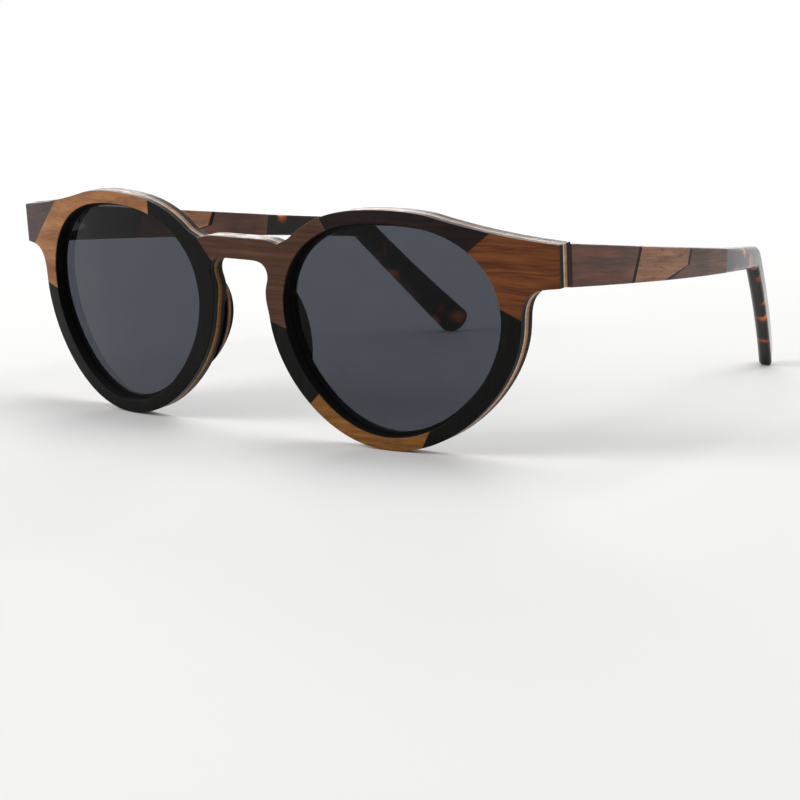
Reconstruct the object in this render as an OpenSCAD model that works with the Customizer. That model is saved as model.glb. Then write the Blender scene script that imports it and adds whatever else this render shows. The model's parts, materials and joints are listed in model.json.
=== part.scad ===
// Round wooden sunglasses with a laminated front, inlaid face and folding temples.
// Millimetres. The front faces -Y, the temples run back along +Y, +Z is up.

/* [Lenses] */
// Width of each lens opening
aperture_width = 47; // [43:0.5:52]
// Height of each lens opening
aperture_height = 42.9; // [40:0.1:47]
// How much the opening narrows towards the cheek
aperture_egg = 0.96; // [0.5:0.02:1.4]
// Lens thickness, which is also the width of the groove
lens_thickness = 1.0; // [0.8:0.1:1.6]
// Depth of the groove that holds the lens edge
groove_depth = 0.8; // [0.5:0.1:1.2]

/* [Front] */
// Clear distance between the two lens openings
bridge_gap = 22.5; // [20:0.5:26]
// Width of the rim beside the lens
rim_side = 3.9; // [3.4:0.1:5]
// Width of the rim above and below the lens
rim_edge = 2.65; // [2.2:0.05:3.6]
// Radius of the sideways wrap, measured on the face
wrap_radius = 175; // [150:1:260]
// Distance from the lens opening inwards to where the wrap begins
flat_margin = 1.25; // [1.25:0.05:3]
// Distance that the end piece stands out beyond the rim
end_reach = 7.45; // [6.6:0.05:10]
// Height of the end piece where the temple meets it
end_height = 8.35; // [7.6:0.05:10]
// Height of the end piece's middle above the lens centre
end_level = 12.9; // [11:0.1:13.5]
// Height of the bridge's top edge above the lens centre
bridge_level = 15.85; // [14:0.05:17]
// Depth of the bridge bar from top to bottom
bridge_bar = 4.45; // [3.6:0.05:5.5]
// Half width of the bridge's straight top edge
bridge_top_half = 7.4; // [6:0.1:8.4]
// Step down from the bridge's top edge to the rim
notch_drop = 0.7; // [0.4:0.05:1.2]
// Wall between the lens opening and the nose gap at its widest
keyhole_wall = 3.75; // [3.2:0.05:4.4]
// Wall between the lens opening and the nose gap at its neck
neck_wall = 4.55; // [4.2:0.05:5.2]

/* [Laminate] */
// Thickness of the inlaid face veneer
ply_face = 0.4; // [0.3:0.05:0.6]
// Thickness of the black ply behind the face
ply_front = 1.0; // [0.7:0.05:1.4]
// Thickness of the light middle ply
ply_mid = 1.2; // [0.8:0.05:1.6]
// Thickness of the lip behind the lens groove
groove_lip = 0.5; // [0.4:0.05:0.9]

/* [Inlay seams] */
// Right seam between bridge and brow: place and lean round the lens
seam_right_brow = [123, -2]; // [-180:1:180]
// Right seam between brow and end piece
seam_right_end = [41, 0]; // [-180:1:180]
// Right seam between end piece and cheek
seam_right_cheek = [8, -37]; // [-180:1:180]
// Right seam between cheek and foot
seam_right_foot = [-71, -44]; // [-180:1:180]
// Right seam between foot and nose
seam_right_nose = [-137, 2]; // [-180:1:180]
// Right seam between nose and bridge
seam_right_bridge = [-177, -20]; // [-180:1:180]
// Left seam between rim and brow, over the lens
seam_left_brow = [118, -28]; // [-180:1:180]
// Left seam between brow and rim, beside the lens
seam_left_cheek = [0, 14]; // [-180:1:180]
// Left seam across the end piece: distance from the end
seam_left_end = 7.2; // [5:0.1:9]
// Slope of the left seam across the end piece
slope_left_end = -45; // [-60:1:-30]
// Slope of the left seam at the bridge
slope_left_bridge = 129; // [120:1:150]

/* [Nose pads] */
// Height of each nose pad
pad_height = 19.4; // [14:0.2:21]
// Greatest width of each nose pad
pad_width = 2.8; // [2:0.1:3.2]
// How far each nose pad stands behind the rim
pad_depth = 4; // [3:0.1:5]
// Distance of the pad's middle from the lens opening
pad_inset = 2.3; // [2:0.05:2.6]
// Height of the pad's middle above the lens centre
pad_level = -2.8; // [-4:0.1:-1]
// How far the pad's ends bend away from the nose
pad_curve = 2; // [1.5:0.1:2.4]
// How much further from the nose the pad's lower end lies than its middle
pad_tilt = 2; // [1.5:0.1:2.4]
// Lean of the pad away from the nose, towards its back
pad_lean = 18; // [0:1:25]
// Fullness of the pad's bowed back, fuller for a smaller value
pad_bow = 0.8; // [0.6:0.05:1]
// Half width of the pad's blunt ends
pad_end = 0.15; // [0.1:0.05:0.3]
// Thickness of the light ply in each pad
pad_ply_thickness = 1.35; // [0.8:0.05:1.6]
// Thickness of the cap on each pad
pad_cap_thickness = 1.9; // [1.2:0.05:2.2]

/* [Temples] */
// Length of the temple from the front to the ear bend
temple_length = 105.4; // [92:0.2:112]
// Length of the tip from the ear bend to its end
tip_length = 43; // [36:0.5:48]
// Fall of the temple below the front's own normal
temple_fall = 9.9; // [7:0.1:12]
// Further fall of the tip below the temple
tip_bend = 37.6; // [28:0.2:46]
// Radius of the ear bend on the middle line
bend_radius = 6; // [5:0.5:14]
// Distance of the temple's middle line below the end piece's middle
temple_drop = 0.5; // [0:0.1:1]
// Height of the temple at the wood and tip joint
temple_height = 5.3; // [4.6:0.1:6.5]
// Height of the tip where it bends over the ear
bend_height = 5.0; // [4.4:0.1:6]
// Width of the tip near its end
tip_width = 7; // [5.5:0.1:8]
// Radius of the temple's sideways bow, on its outer face
bow_radius = 283; // [240:1:320]
// Outward start angle of the bow at the hinge
bow_start = 4.5; // [2:0.1:6]
// Thickness of the temple at the hinge
temple_thickness = 3.9; // [3.6:0.05:4.6]
// How fast the temple thins towards the tip
temple_taper = 1.4; // [0:0.1:2.6]
// Distance from the front to the first temple seam
temple_seam_front = 24; // [20:0.5:30]
// Distance from the front to the second temple seam
temple_seam_rear = 48; // [44:0.5:56]
// How much further back the left temple's seams lie
left_seam_shift = 5; // [0:0.5:8]
// Slant of the temple seams, run for each unit of height
seam_slant = 0.52; // [0:0.02:0.8]
// Drop of the second seam's kink below the middle line
kink_drop = 0.3; // [0:0.1:1]
// Slope of the second seam in front of its kink
kink_slope = 4.3; // [0:0.1:8]
// Distance from the front to the wood and tip joint
temple_splice = 72; // [66:0.5:78]
// Length of the wooden tenon inside the tip
tenon_length = 6; // [4:0.5:9]
// Height of the tenon
tenon_height = 2.7; // [2:0.1:3.4]
// Thickness of the tenon
tenon_thickness = 1.2; // [0.8:0.1:1.4]
// Tip material over the tenon's outer side
tenon_cover = 0.95; // [0.8:0.05:1.2]
// Length of the rounded end of the tip
tip_cap = 2.4; // [1.6:0.1:3]

/* [Hinges] */
// Radius of the hinge barrel
barrel_radius = 1.5; // [1.3:0.05:1.7]
// Radius of the hinge pin
pin_radius = 0.65; // [0.5:0.05:0.75]
// Running clearance round the pin in the temple's knuckle
pin_clearance = 0.05; // [0.02:0.01:0.1]
// Gap between neighbouring knuckles
knuckle_gap = 0.3; // [0.2:0.05:0.5]
// Height of the whole barrel
barrel_height = 6.0; // [5.4:0.1:6.6]
// Radius of the hinge pin's head
pin_head = 1.1; // [0.9:0.05:1.25]
// Thickness of the hinge pin's head
pin_head_height = 0.5; // [0.3:0.05:0.7]
// Gap between the barrel and the temple's inner face
hinge_inset = 0.7; // [0.4:0.05:1]
// Gap between the barrel and the back of the front
hinge_standoff = 1.05; // [0.8:0.05:1.4]
// Thickness of the hinge leaves
leaf_thickness = 0.9; // [0.7:0.05:1]
// How far the leaves stand proud of the wood
leaf_proud = 0.1; // [0.05:0.05:0.2]
// Height of the front leaf
front_leaf_height = 6.4; // [5.6:0.1:6.8]
// Length of the front leaf
front_leaf_length = 6.6; // [6:0.1:7]
// Distance from the hinge axis to the front leaf's outer edge
front_leaf_edge = 1.5; // [1.2:0.1:1.8]
// Width of the front leaf's arms
front_arm_width = 2.2; // [1.8:0.1:2.6]
// Height of the temple leaf
temple_leaf_height = 4.4; // [3.8:0.1:5]
// Length of the temple leaf
temple_leaf_length = 7.6; // [7:0.1:9]
// Distance from the hinge axis back to the temple leaf
temple_leaf_start = 3.0; // [2.6:0.1:3.6]
// Drop of the temple leaf's middle below the barrel's middle
temple_leaf_drop = 0.9; // [0.5:0.1:1.2]
// Width of the temple leaf's arm beside the barrel
temple_arm_width = 2.5; // [2:0.1:2.6]
// Distance of the arm's inner side from the hinge axis
temple_arm_inner = 0.6; // [0.4:0.05:0.8]
// Lap of the arms over their leaves
arm_lap = 1.6; // [1.2:0.1:2]
// Depth to which the arms sink into their leaves
arm_root = 0.3; // [0.2:0.05:0.5]
// Gap between the front and the temple's end
butt_gap = 0.35; // [0.3:0.05:0.6]
// Radius of the leaf screws' shanks
screw_radius = 0.55; // [0.4:0.05:0.7]
// Radius of the leaf screws' heads
screw_head = 0.95; // [0.8:0.05:1.05]
// Thickness of the leaf screws' heads
screw_head_height = 0.4; // [0.3:0.05:0.6]
// Distance between the two front leaf screws
front_screw_pitch = 3.8; // [3.4:0.1:4]
// Distance of the front leaf screws from the leaf's inner edge
front_screw_edge = 1.2; // [1.1:0.1:1.6]
// Distance between the two temple leaf screws
temple_screw_pitch = 2.2; // [2.2:0.1:2.6]
// Distance of the last temple leaf screw from the leaf's rear edge
temple_screw_edge = 1.2; // [1.1:0.1:1.6]
// Wood left between the temple leaf screws and the outer face
screw_cover = 1.2; // [0.8:0.1:1.6]

/* [Hidden] */
$fn = 96;

// Depths of the plies behind the face
ply_rear = lens_thickness + groove_lip;
d_front = ply_face;
d_mid = d_front + ply_front;
d_rear = d_mid + ply_mid;
d_back = d_rear + ply_rear;

lens_x = (aperture_width + bridge_gap) / 2;
flat_half = bridge_gap / 2 - flat_margin;
rim_w = aperture_width + 2 * rim_side;
rim_h = aperture_height + 2 * rim_edge;
end_x = lens_x + rim_w / 2 + end_reach;
bridge_under = bridge_level - bridge_bar;
keyhole_half = bridge_gap / 2 - keyhole_wall;
neck_half = bridge_gap / 2 - neck_wall;
// Longer than any piece, for cutters that pass right through
span = 2 * end_x + temple_length;

// Lens-shaped curve: distance from the lens centre at angle t
function polar(w, h, t) = (w + h) / 4 + (w - h) / 4 * cos(2 * t) + aperture_egg * sin(3 * t);
function ring_pt(w, h, t) = [lens_x + polar(w, h, t) * cos(t), polar(w, h, t) * sin(t)];
function rim_pt(t) = ring_pt(rim_w, rim_h, t);
function bez(a, b, c, n) = [for (i = [0 : n]) let (u = i / n)
  (1 - u) * (1 - u) * a + 2 * u * (1 - u) * b + u * u * c];
function mirrored(p) = [-p[0], p[1]];
function flip(pts) = [for (i = [len(pts) - 1 : -1 : 0]) mirrored(pts[i])];

// Face outline, right half, clockwise from the bridge's top edge
notch = [bridge_gap / 2 - 0.76 * flat_margin, bridge_level - notch_drop];
end_top = [end_x, end_level + end_height / 2];
end_low = [end_x, end_level - end_height / 2];
brow_start = rim_pt(66);
brow_bow = [(brow_start[0] + end_x) / 2, end_top[1] + 0.31 * (brow_start[1] - end_top[1])];
cheek_start = rim_pt(4);
cheek_bow = [cheek_start[0], end_low[1] - 0.06 * end_height];
cheek_end = [cheek_start[0] + 0.6 * end_reach, end_low[1] - 0.03 * end_height];
nose_start = rim_pt(178);
neck_bow = [0.985 * neck_half, 0.28 * bridge_under];
neck = [neck_half, 0.44 * bridge_under];
throat = [0.75 * neck_half + 0.25 * keyhole_half, 0.55 * bridge_under];
keyhole = [keyhole_half, 0.68 * bridge_under];
keyhole_bow = [1.05 * keyhole_half, 0.99 * bridge_under];
keyhole_top = [0.53 * keyhole_half, bridge_under];
half_outline = concat(
  [[bridge_top_half, bridge_level], notch],
  [for (t = [143 : -5.5 : 67]) rim_pt(t)],
  bez(brow_start, brow_bow, end_top, 6),
  [end_low],
  bez(cheek_end, cheek_bow, cheek_start, 6),
  [for (t = [-1 : -6 : -181]) rim_pt(t)],
  bez(nose_start, neck_bow, neck, 3),
  [throat],
  bez(keyhole, keyhole_bow, keyhole_top, 6));
outline = concat(half_outline, flip(half_outline));
aperture = [for (t = [0 : 6 : 354]) ring_pt(aperture_width, aperture_height, t)];
groove = [for (t = [0 : 6 : 354])
  ring_pt(aperture_width + 2 * groove_depth, aperture_height + 2 * groove_depth, t)];

// Depth of the face, or of a surface d behind it, at a distance x from the middle
function surface_y(x, d) = abs(x) < flat_half ? d :
  wrap_radius - sqrt(pow(wrap_radius - d, 2) - pow(abs(x) - flat_half, 2));
function wrap_angle(x, d) = asin((abs(x) - flat_half) / (wrap_radius - d));

// Middle line of the temple in side view, from the front to the end of the tip
temple_y0 = surface_y(end_x, d_back);
temple_z0 = end_level - temple_drop;
tip_fall = temple_fall + tip_bend;
bend_cut = bend_radius * tan(tip_bend / 2);
bend_y = temple_y0 + temple_length * cos(temple_fall);
bend_z = temple_z0 - temple_length * sin(temple_fall);
bend_in = [bend_y - bend_cut * cos(temple_fall), bend_z + bend_cut * sin(temple_fall)];
bend_c = bend_in - bend_radius * [sin(temple_fall), cos(temple_fall)];
splice_y = temple_y0 + temple_splice;
function line_z(y) = temple_z0 - (y - temple_y0) * tan(temple_fall);
function side_pt(c, fall, h) = c + h * [sin(fall), cos(fall)];
function arc_pt(a) = bend_c + bend_radius * [sin(temple_fall + a), cos(temple_fall + a)];
function tip_pt(s) = arc_pt(tip_bend) + s * [cos(tip_fall), -sin(tip_fall)];

// Outline of the temple in side view
tip_run = tip_length - bend_cut - tip_cap;
function wood_half(y) = (end_height + (temple_height - end_height) * (y - temple_y0) / temple_splice) / 2;
function tip_half(s) = (temple_height + (tip_width - temple_height) * (1 - cos(90 * s / tip_run))) / 2;
function edge(up) = concat(
  [for (y = [temple_y0 - end_height, splice_y]) side_pt([y, line_z(y)], temple_fall, up * wood_half(y))],
  [for (k = [0 : 5]) let (a = tip_bend * k / 5) side_pt(arc_pt(a), temple_fall + a,
    up * (bend_height + (temple_height - bend_height) * k / 5) / 2)],
  [for (k = [1 : 4]) side_pt(tip_pt(tip_run * k / 4), tip_fall, up * tip_half(tip_run * k / 4))]);
cap_edge = [for (a = [75 : -15 : -75])
  side_pt(tip_pt(tip_run + tip_cap * cos(a)), tip_fall, tip_width / 2 * sin(a))];
low_edge = edge(-1);
temple_side = concat(edge(1), cap_edge, [for (i = [len(low_edge) - 1 : -1 : 0]) low_edge[i]]);

// Sideways bow of the temple in plan
bow_c = [end_x - bow_radius * cos(bow_start), temple_y0 + bow_radius * sin(bow_start)];
bow_c_in = [bow_c[0], bow_c[1] + temple_taper];
bow_r_in = bow_radius - temple_thickness + temple_taper * sin(bow_start);
function inner_x(y) = bow_c_in[0] + sqrt(pow(bow_r_in, 2) - pow(y - bow_c_in[1], 2));

// Hinge axis, behind the front and inside the temple
hinge_x = inner_x(temple_y0) - barrel_radius - hinge_inset;
hinge_y = surface_y(hinge_x, d_back) + barrel_radius + hinge_standoff;
hinge_z = temple_z0;
knuckle = (barrel_height - 2 * knuckle_gap) / 3;
leaf_sink = leaf_thickness - leaf_proud;
temple_leaf_y = hinge_y + temple_leaf_start + temple_leaf_length / 2;
temple_leaf_z = hinge_z - temple_leaf_drop;
front_screw_reach = ply_rear + 0.75 * ply_mid;
temple_screw_reach = temple_thickness - screw_cover;

// Resting pose: the rim bottoms and the tip ends stand on the ground
function turned_z(p, a) = p[1] * cos(a) + p[0] * sin(a);
function turned_y(p, a) = p[0] * cos(a) - p[1] * sin(a);
function lowest(pts, a) = let (m = min([for (p = pts) turned_z(p, a)]))
  [for (p = pts) if (turned_z(p, a) == m) p][0];
front_pts = [for (p = half_outline) [surface_y(p[0], 0), p[1]]];
function settle(a, n) = n == 0 ? a : let (f = lowest(front_pts, a), t = lowest(cap_edge, a))
  settle(atan((f[1] - t[1]) / (t[0] - f[0])), n - 1);
pitch = settle(5, 5);
lift = -turned_z(lowest(front_pts, pitch), pitch);
shift = -(max([for (p = cap_edge) turned_y(p, pitch)])
  + min([for (p = front_pts) turned_y(p, pitch)])) / 2;

module placed() translate([0, shift, lift]) rotate([pitch, 0, 0]) children();
module mirror_left() mirror([1, 0, 0]) children();
module upright() translate([0, 0, -span / 2]) linear_extrude(span) children();
module through_front() translate([0, span / 2, 0]) rotate([90, 0, 0]) linear_extrude(span) children();
module from_side() rotate([90, 0, 90]) linear_extrude(span) children();

// Curved sheet between two depths behind the face
module side_plan(d0, d1) intersection() {
  translate([flat_half, wrap_radius]) difference() {
    circle(wrap_radius - d0, $fn = 240);
    circle(wrap_radius - d1, $fn = 240);
  }
  translate([flat_half, -d_back]) square(wrap_radius / 2);
}
module side_sheet(d0, d1) upright() side_plan(d0, d1);
module sheet(d0, d1) upright() {
  translate([-flat_half, d0]) square([2 * flat_half, d1 - d0]);
  for (s = [0, 1]) mirror([s, 0]) side_plan(d0, d1);
}

module face_shape() difference() {
  polygon(outline);
  polygon(aperture);
  mirror([1, 0]) polygon(aperture);
}

// Inlay seams: a point k outwards from the middle of the rim, along the seam
far = rim_h / 2;
reach = rim_side;
function rim_mid(t) = (polar(aperture_width, aperture_height, t) + polar(rim_w, rim_h, t)) / 2;
function seam_pt(s, k) = [lens_x, 0] + rim_mid(s[0]) * [cos(s[0]), sin(s[0])]
  + k * [cos(s[0] + s[1]), sin(s[0] + s[1])];
function across(s) = [seam_pt(s, -reach), seam_pt(s, reach)];
function back_across(s) = [seam_pt(s, reach), seam_pt(s, -reach)];
function far_pts(a, b, r) = [for (k = [0 : 6]) let (t = a + (b - a) * k / 6)
  [lens_x + r * cos(t), r * sin(t)]];
function sector(s1, s2, a1, a2, r) = concat([[lens_x, 0]], across(s1), far_pts(a1, a2, r), back_across(s2));
nose_far = 0.97 * lens_x;
cheek_far = 0.88 * lens_x;
bridge_cut_in = [0.9 * keyhole_half, 0.91 * bridge_under];
function bridge_cut(k) = bridge_cut_in + k * [-cos(slope_left_bridge), sin(slope_left_bridge)];
function left_end_cut(k) = [end_x - seam_left_end, end_level]
  + k * [cos(slope_left_end), sin(slope_left_end)];
bridge_side = [bridge_cut(2 * reach) + [0, far], bridge_cut(2 * reach), bridge_cut(-0.6 * reach)];

module inlay(region) intersection() {
  sheet(0, d_front);
  through_front() intersection() {
    face_shape();
    polygon(region);
  }
}

// Front laminate
module front_ply() color("#1b1917") placed() intersection() {
  sheet(d_front, d_mid);
  through_front() face_shape();
}
module mid_ply() color("#b08a66") placed() difference() {
  intersection() {
    sheet(d_mid, d_rear);
    through_front() face_shape();
  }
  front_screws();
  mirror_left() front_screws();
}
module rear_ply() color("#201d1b") placed() difference() {
  intersection() {
    sheet(d_rear, d_back);
    through_front() face_shape();
  }
  for (s = [0, 1]) mirror([s, 0, 0]) {
    lens_room();
    front_leaf_seat();
    front_screws();
  }
}

// Face inlays
module inlay_left_end() color("#4b4340") placed() mirror_left() inlay(
  [left_end_cut(-far), left_end_cut(far), [end_x + far, left_end_cut(far)[1]],
  [end_x + far, left_end_cut(-far)[1]]]);
module inlay_left_brow() color("#a5704a") placed() mirror_left() inlay(
  [[lens_x, 0], seam_pt(seam_left_cheek, -reach), seam_pt(seam_left_cheek, 0.77 * reach), left_end_cut(far),
  left_end_cut(-far), seam_pt(seam_left_brow, far), seam_pt(seam_left_brow, -reach)]);
module inlay_left_rim() color("#1f1c1a") placed() mirror_left() inlay(concat(
  [[lens_x, 0], seam_pt(seam_left_brow, -reach), seam_pt(seam_left_brow, far)],
  bridge_side, far_pts(190, 350, nose_far),
  [seam_pt(seam_left_cheek, 0.77 * reach), seam_pt(seam_left_cheek, -reach)]));
module inlay_bridge() color("#5a3d2c") placed() inlay(concat(
  flip(bridge_side), [seam_pt(seam_right_brow, far)], back_across(seam_right_brow),
  [[lens_x, 0]], across(seam_right_bridge)));
module inlay_right_brow() color("#33221e") placed() inlay(concat(
  [[lens_x, 0], seam_pt(seam_right_end, -reach), seam_pt(seam_right_end, far),
  seam_pt(seam_right_brow, far)], back_across(seam_right_brow)));
module inlay_right_end() color("#6b4022") placed() inlay(concat(
  [[lens_x, 0]], across(seam_right_cheek),
  [[end_x + far, seam_pt(seam_right_cheek, reach)[1]], [end_x + far, 2 * far],
  seam_pt(seam_right_end, far), seam_pt(seam_right_end, -reach)]));
module inlay_right_cheek() color("#191716") placed() inlay(
  sector(seam_right_foot, seam_right_cheek, -84, -10, cheek_far));
module inlay_right_foot() color("#7d5c3a") placed() inlay(
  sector(seam_right_nose, seam_right_foot, -140, -95, nose_far));
module inlay_right_nose() color("#1a1817") placed() inlay(
  sector(seam_right_bridge, seam_right_nose, -178, -140, nose_far));

// Lenses, held in the grooves of the rear ply
module lens_blank() lens_slice(d_rear);
module lens_room() lens_slice(d_mid);
module lens_slice(d0) intersection() {
  side_sheet(d0, d_rear + lens_thickness);
  through_front() polygon(groove);
}
module right_lens() color("#3a3d42", 0.6) placed() lens_blank();
module left_lens() color("#3a3d42", 0.6) placed() mirror_left() lens_blank();

// Nose pads, three layers glued behind the rims and sanded to a bowed back
d_pad_cap = d_back + pad_depth - pad_cap_thickness;
d_pad_ply = d_pad_cap - pad_ply_thickness;
function pad_z(u) = pad_level + u * pad_height / 2;
function pad_half(u) = pad_width / 2 * sqrt(1 - u * u) + pad_end;
function pad_mid(u) = pad_curve * u * u - pad_tilt * u;
function pad_pt(u, side) = [(pad_mid(u) + side * pad_half(u)) * cos(pad_lean), pad_z(u)];
pad_outline = concat(
  [for (k = [-8 : 8]) pad_pt(k / 8, 1)],
  [for (k = [8 : -1 : -8]) pad_pt(k / 8, -1)]);
pad_side = concat(
  [[0, pad_z(-1)]],
  [for (k = [-8 : 8]) [d_back + pad_depth * pow(1 - k * k / 64, pad_bow), pad_z(k / 8)]],
  [[0, pad_z(1)]]);
module pad_layer(d0, d1) intersection() {
  sheet(d0, d1);
  translate([bridge_gap / 2 - pad_inset, d_back, 0]) rotate([0, 0, -pad_lean]) through_front()
    polygon(pad_outline);
  from_side() polygon(pad_side);
}
module pad_body() pad_layer(d_back, d_pad_ply);
module pad_ply() pad_layer(d_pad_ply, d_pad_cap);
module pad_cap() pad_layer(d_pad_cap, d_back + 2 * pad_depth);
module right_pad_body() color("#1d1a18") placed() pad_body();
module left_pad_body() color("#1d1a18") placed() mirror_left() pad_body();
module right_pad_ply() color("#b08a66") placed() pad_ply();
module left_pad_ply() color("#b08a66") placed() mirror_left() pad_ply();
module right_pad_cap() color("#2a211c") placed() pad_cap();
module left_pad_cap() color("#2a211c") placed() mirror_left() pad_cap();

// Places of the hinge leaves, at their middles
front_leaf_x = hinge_x + front_leaf_edge - front_leaf_length / 2;
module at_front_leaf() translate([front_leaf_x, surface_y(front_leaf_x, d_back), hinge_z])
  rotate([0, 0, wrap_angle(front_leaf_x, d_back)]) children();
module at_temple_leaf() translate([inner_x(temple_leaf_y), temple_leaf_y, temple_leaf_z])
  rotate([0, 0, -asin((bow_c_in[1] - temple_leaf_y) / bow_r_in)]) children();
module front_plate(thickness) at_front_leaf()
  translate([-front_leaf_length / 2, -leaf_sink, -front_leaf_height / 2])
  cube([front_leaf_length, thickness, front_leaf_height]);
module temple_plate(proud) at_temple_leaf()
  translate([-proud, -temple_leaf_length / 2, -temple_leaf_height / 2])
  cube([leaf_sink + proud, temple_leaf_length, temple_leaf_height]);
module front_leaf_seat() front_plate(leaf_sink + d_back);
module temple_leaf_seat() temple_plate(temple_thickness);

// Hinge screws, each a head on a shank
module leaf_screw(shank) {
  cylinder(r = screw_head, h = screw_head_height);
  translate([0, 0, -shank]) cylinder(r = screw_radius, h = shank + screw_head_height / 2);
}
module front_screws() at_front_leaf() for (z = [-0.5, 0.5])
  translate([front_screw_edge - front_leaf_length / 2, leaf_proud, z * front_screw_pitch])
  rotate([-90, 0, 0]) leaf_screw(front_screw_reach);
module temple_screws() at_temple_leaf() for (k = [0, 1])
  translate([-leaf_proud, temple_leaf_length / 2 - temple_screw_edge - k * temple_screw_pitch, 0])
  rotate([0, -90, 0]) leaf_screw(temple_screw_reach);

// Hinge leaves, with their knuckles in turn along the barrel, and the pin
function knuckle_z(i) = hinge_z - barrel_height / 2 + i * (knuckle + knuckle_gap);
module knuckle_at(i) translate([hinge_x, hinge_y, knuckle_z(i)]) cylinder(r = barrel_radius, h = knuckle);
module pin_hole(r) translate([hinge_x, hinge_y, hinge_z - barrel_height])
  cylinder(r = r, h = 2 * barrel_height);
module front_leaf() difference() {
  union() {
    front_plate(leaf_thickness);
    for (i = [0, 2]) {
      knuckle_at(i);
      translate([hinge_x - front_arm_width / 2, surface_y(hinge_x, d_back) - arm_root, knuckle_z(i)])
        cube([front_arm_width, arm_root + hinge_standoff + barrel_radius, knuckle]);
    }
  }
  pin_hole(pin_radius);
  front_screws();
}
module temple_leaf() difference() {
  union() {
    temple_plate(leaf_proud);
    knuckle_at(1);
    translate([hinge_x - temple_arm_inner, hinge_y, knuckle_z(1)])
      cube([temple_arm_width, temple_leaf_start + arm_lap, knuckle]);
    translate([hinge_x, hinge_y + temple_leaf_start, knuckle_z(1)])
      cube([inner_x(temple_leaf_y) + arm_root - hinge_x, arm_lap, knuckle]);
  }
  pin_hole(pin_radius + pin_clearance);
  temple_screws();
}
module hinge_pin() {
  translate([hinge_x, hinge_y, hinge_z - barrel_height / 2])
    cylinder(r = pin_radius, h = barrel_height + pin_head_height);
  translate([hinge_x, hinge_y, hinge_z + barrel_height / 2]) cylinder(r = pin_head, h = pin_head_height);
}
module right_front_leaf() color("#b9b4aa") placed() front_leaf();
module left_front_leaf() color("#b9b4aa") placed() mirror_left() front_leaf();
module right_temple_leaf() color("#b9b4aa") placed() temple_leaf();
module left_temple_leaf() color("#b9b4aa") placed() mirror_left() temple_leaf();
module right_hinge_pin() color("#d0ccc4") placed() hinge_pin();
module left_hinge_pin() color("#d0ccc4") placed() mirror_left() hinge_pin();
module right_front_leaf_screws() color("#d0ccc4") placed() front_screws();
module left_front_leaf_screws() color("#d0ccc4") placed() mirror_left() front_screws();
module right_temple_leaf_screws() color("#d0ccc4") placed() temple_screws();
module left_temple_leaf_screws() color("#d0ccc4") placed() mirror_left() temple_screws();

// Temples: three lengths of wood, with seams b further back, and a tip that takes the last one's tenon
function line_pt(y) = [y, line_z(y)];
function seam1_line(b) = let (c = line_pt(temple_y0 + temple_seam_front + b))
  [for (up = [end_height, -end_height]) c + up * [seam_slant, 1]];
function kink(b) = line_pt(temple_y0 + temple_seam_rear + b) - [0, kink_drop];
function kink_end(b) = kink(b) - temple_seam_front * [1, tan(kink_slope)];
function seam2_line(b) = [kink_end(b) - [0, end_height], kink_end(b),
  kink(b), kink(b) + end_height * [seam_slant, 1]];
tip_side = [[splice_y, -span], [splice_y, span]];
module temple_sheet() upright() intersection() {
  difference() {
    translate(bow_c) circle(bow_radius, $fn = 360);
    translate(bow_c_in) circle(bow_r_in, $fn = 360);
  }
  square(span);
}
module temple_piece(region) intersection() {
  temple_sheet();
  from_side() intersection() {
    polygon(temple_side);
    polygon(region);
  }
}
module temple_root(b) difference() {
  intersection() {
    temple_piece(concat([[0, span], [0, -span]], [seam1_line(b)[1], seam1_line(b)[0]]));
    translate([flat_half, wrap_radius, -span / 2])
      cylinder(r = wrap_radius - d_back - butt_gap, h = span, $fn = 240);
  }
  temple_leaf_seat();
  temple_screws();
}
module temple_middle(b) temple_piece(concat(seam1_line(b), seam2_line(b)));
module tenon() intersection() {
  upright() intersection() {
    translate(bow_c) difference() {
      circle(bow_radius - tenon_cover, $fn = 360);
      circle(bow_radius - tenon_cover - tenon_thickness, $fn = 360);
    }
    square(span);
  }
  from_side() polygon([for (p = [[-1, 1], [1, 1], [1, -1], [-1, -1]])
    let (y = splice_y + p[0] * tenon_length) [y, line_z(y) + p[1] * tenon_height / 2]]);
}
module temple_rear(b) {
  temple_piece(concat([for (i = [3 : -1 : 0]) seam2_line(b)[i]], tip_side));
  tenon();
}
module temple_tip() difference() {
  temple_piece(concat(tip_side, [[splice_y + span, span], [splice_y + span, -span]]));
  tenon();
}
module right_temple_root() color("#4d342c") placed() temple_root(0);
module left_temple_root() color("#4d342c") placed() mirror_left() temple_root(left_seam_shift);
module right_temple_middle() color("#8a6a54") placed() temple_middle(0);
module left_temple_middle() color("#8a6a54") placed() mirror_left() temple_middle(left_seam_shift);
module right_temple_rear() color("#573a30") placed() temple_rear(0);
module left_temple_rear() color("#573a30") placed() mirror_left() temple_rear(left_seam_shift);
module right_temple_tip() color("#2a1a12") placed() temple_tip();
module left_temple_tip() color("#2a1a12") placed() mirror_left() temple_tip();

front_ply();
mid_ply();
rear_ply();
inlay_left_end();
inlay_left_brow();
inlay_left_rim();
inlay_bridge();
inlay_right_brow();
inlay_right_end();
inlay_right_cheek();
inlay_right_foot();
inlay_right_nose();
left_lens();
right_lens();
left_pad_body();
left_pad_ply();
left_pad_cap();
right_pad_body();
right_pad_ply();
right_pad_cap();
left_front_leaf();
right_front_leaf();
left_temple_leaf();
right_temple_leaf();
left_hinge_pin();
right_hinge_pin();
left_front_leaf_screws();
right_front_leaf_screws();
left_temple_leaf_screws();
right_temple_leaf_screws();
left_temple_root();
right_temple_root();
left_temple_middle();
right_temple_middle();
left_temple_rear();
right_temple_rear();
left_temple_tip();
right_temple_tip();
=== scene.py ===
"""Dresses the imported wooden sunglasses: inlaid face, plies, lenses, nose pads, hinges and temples."""

import json
import math

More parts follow.
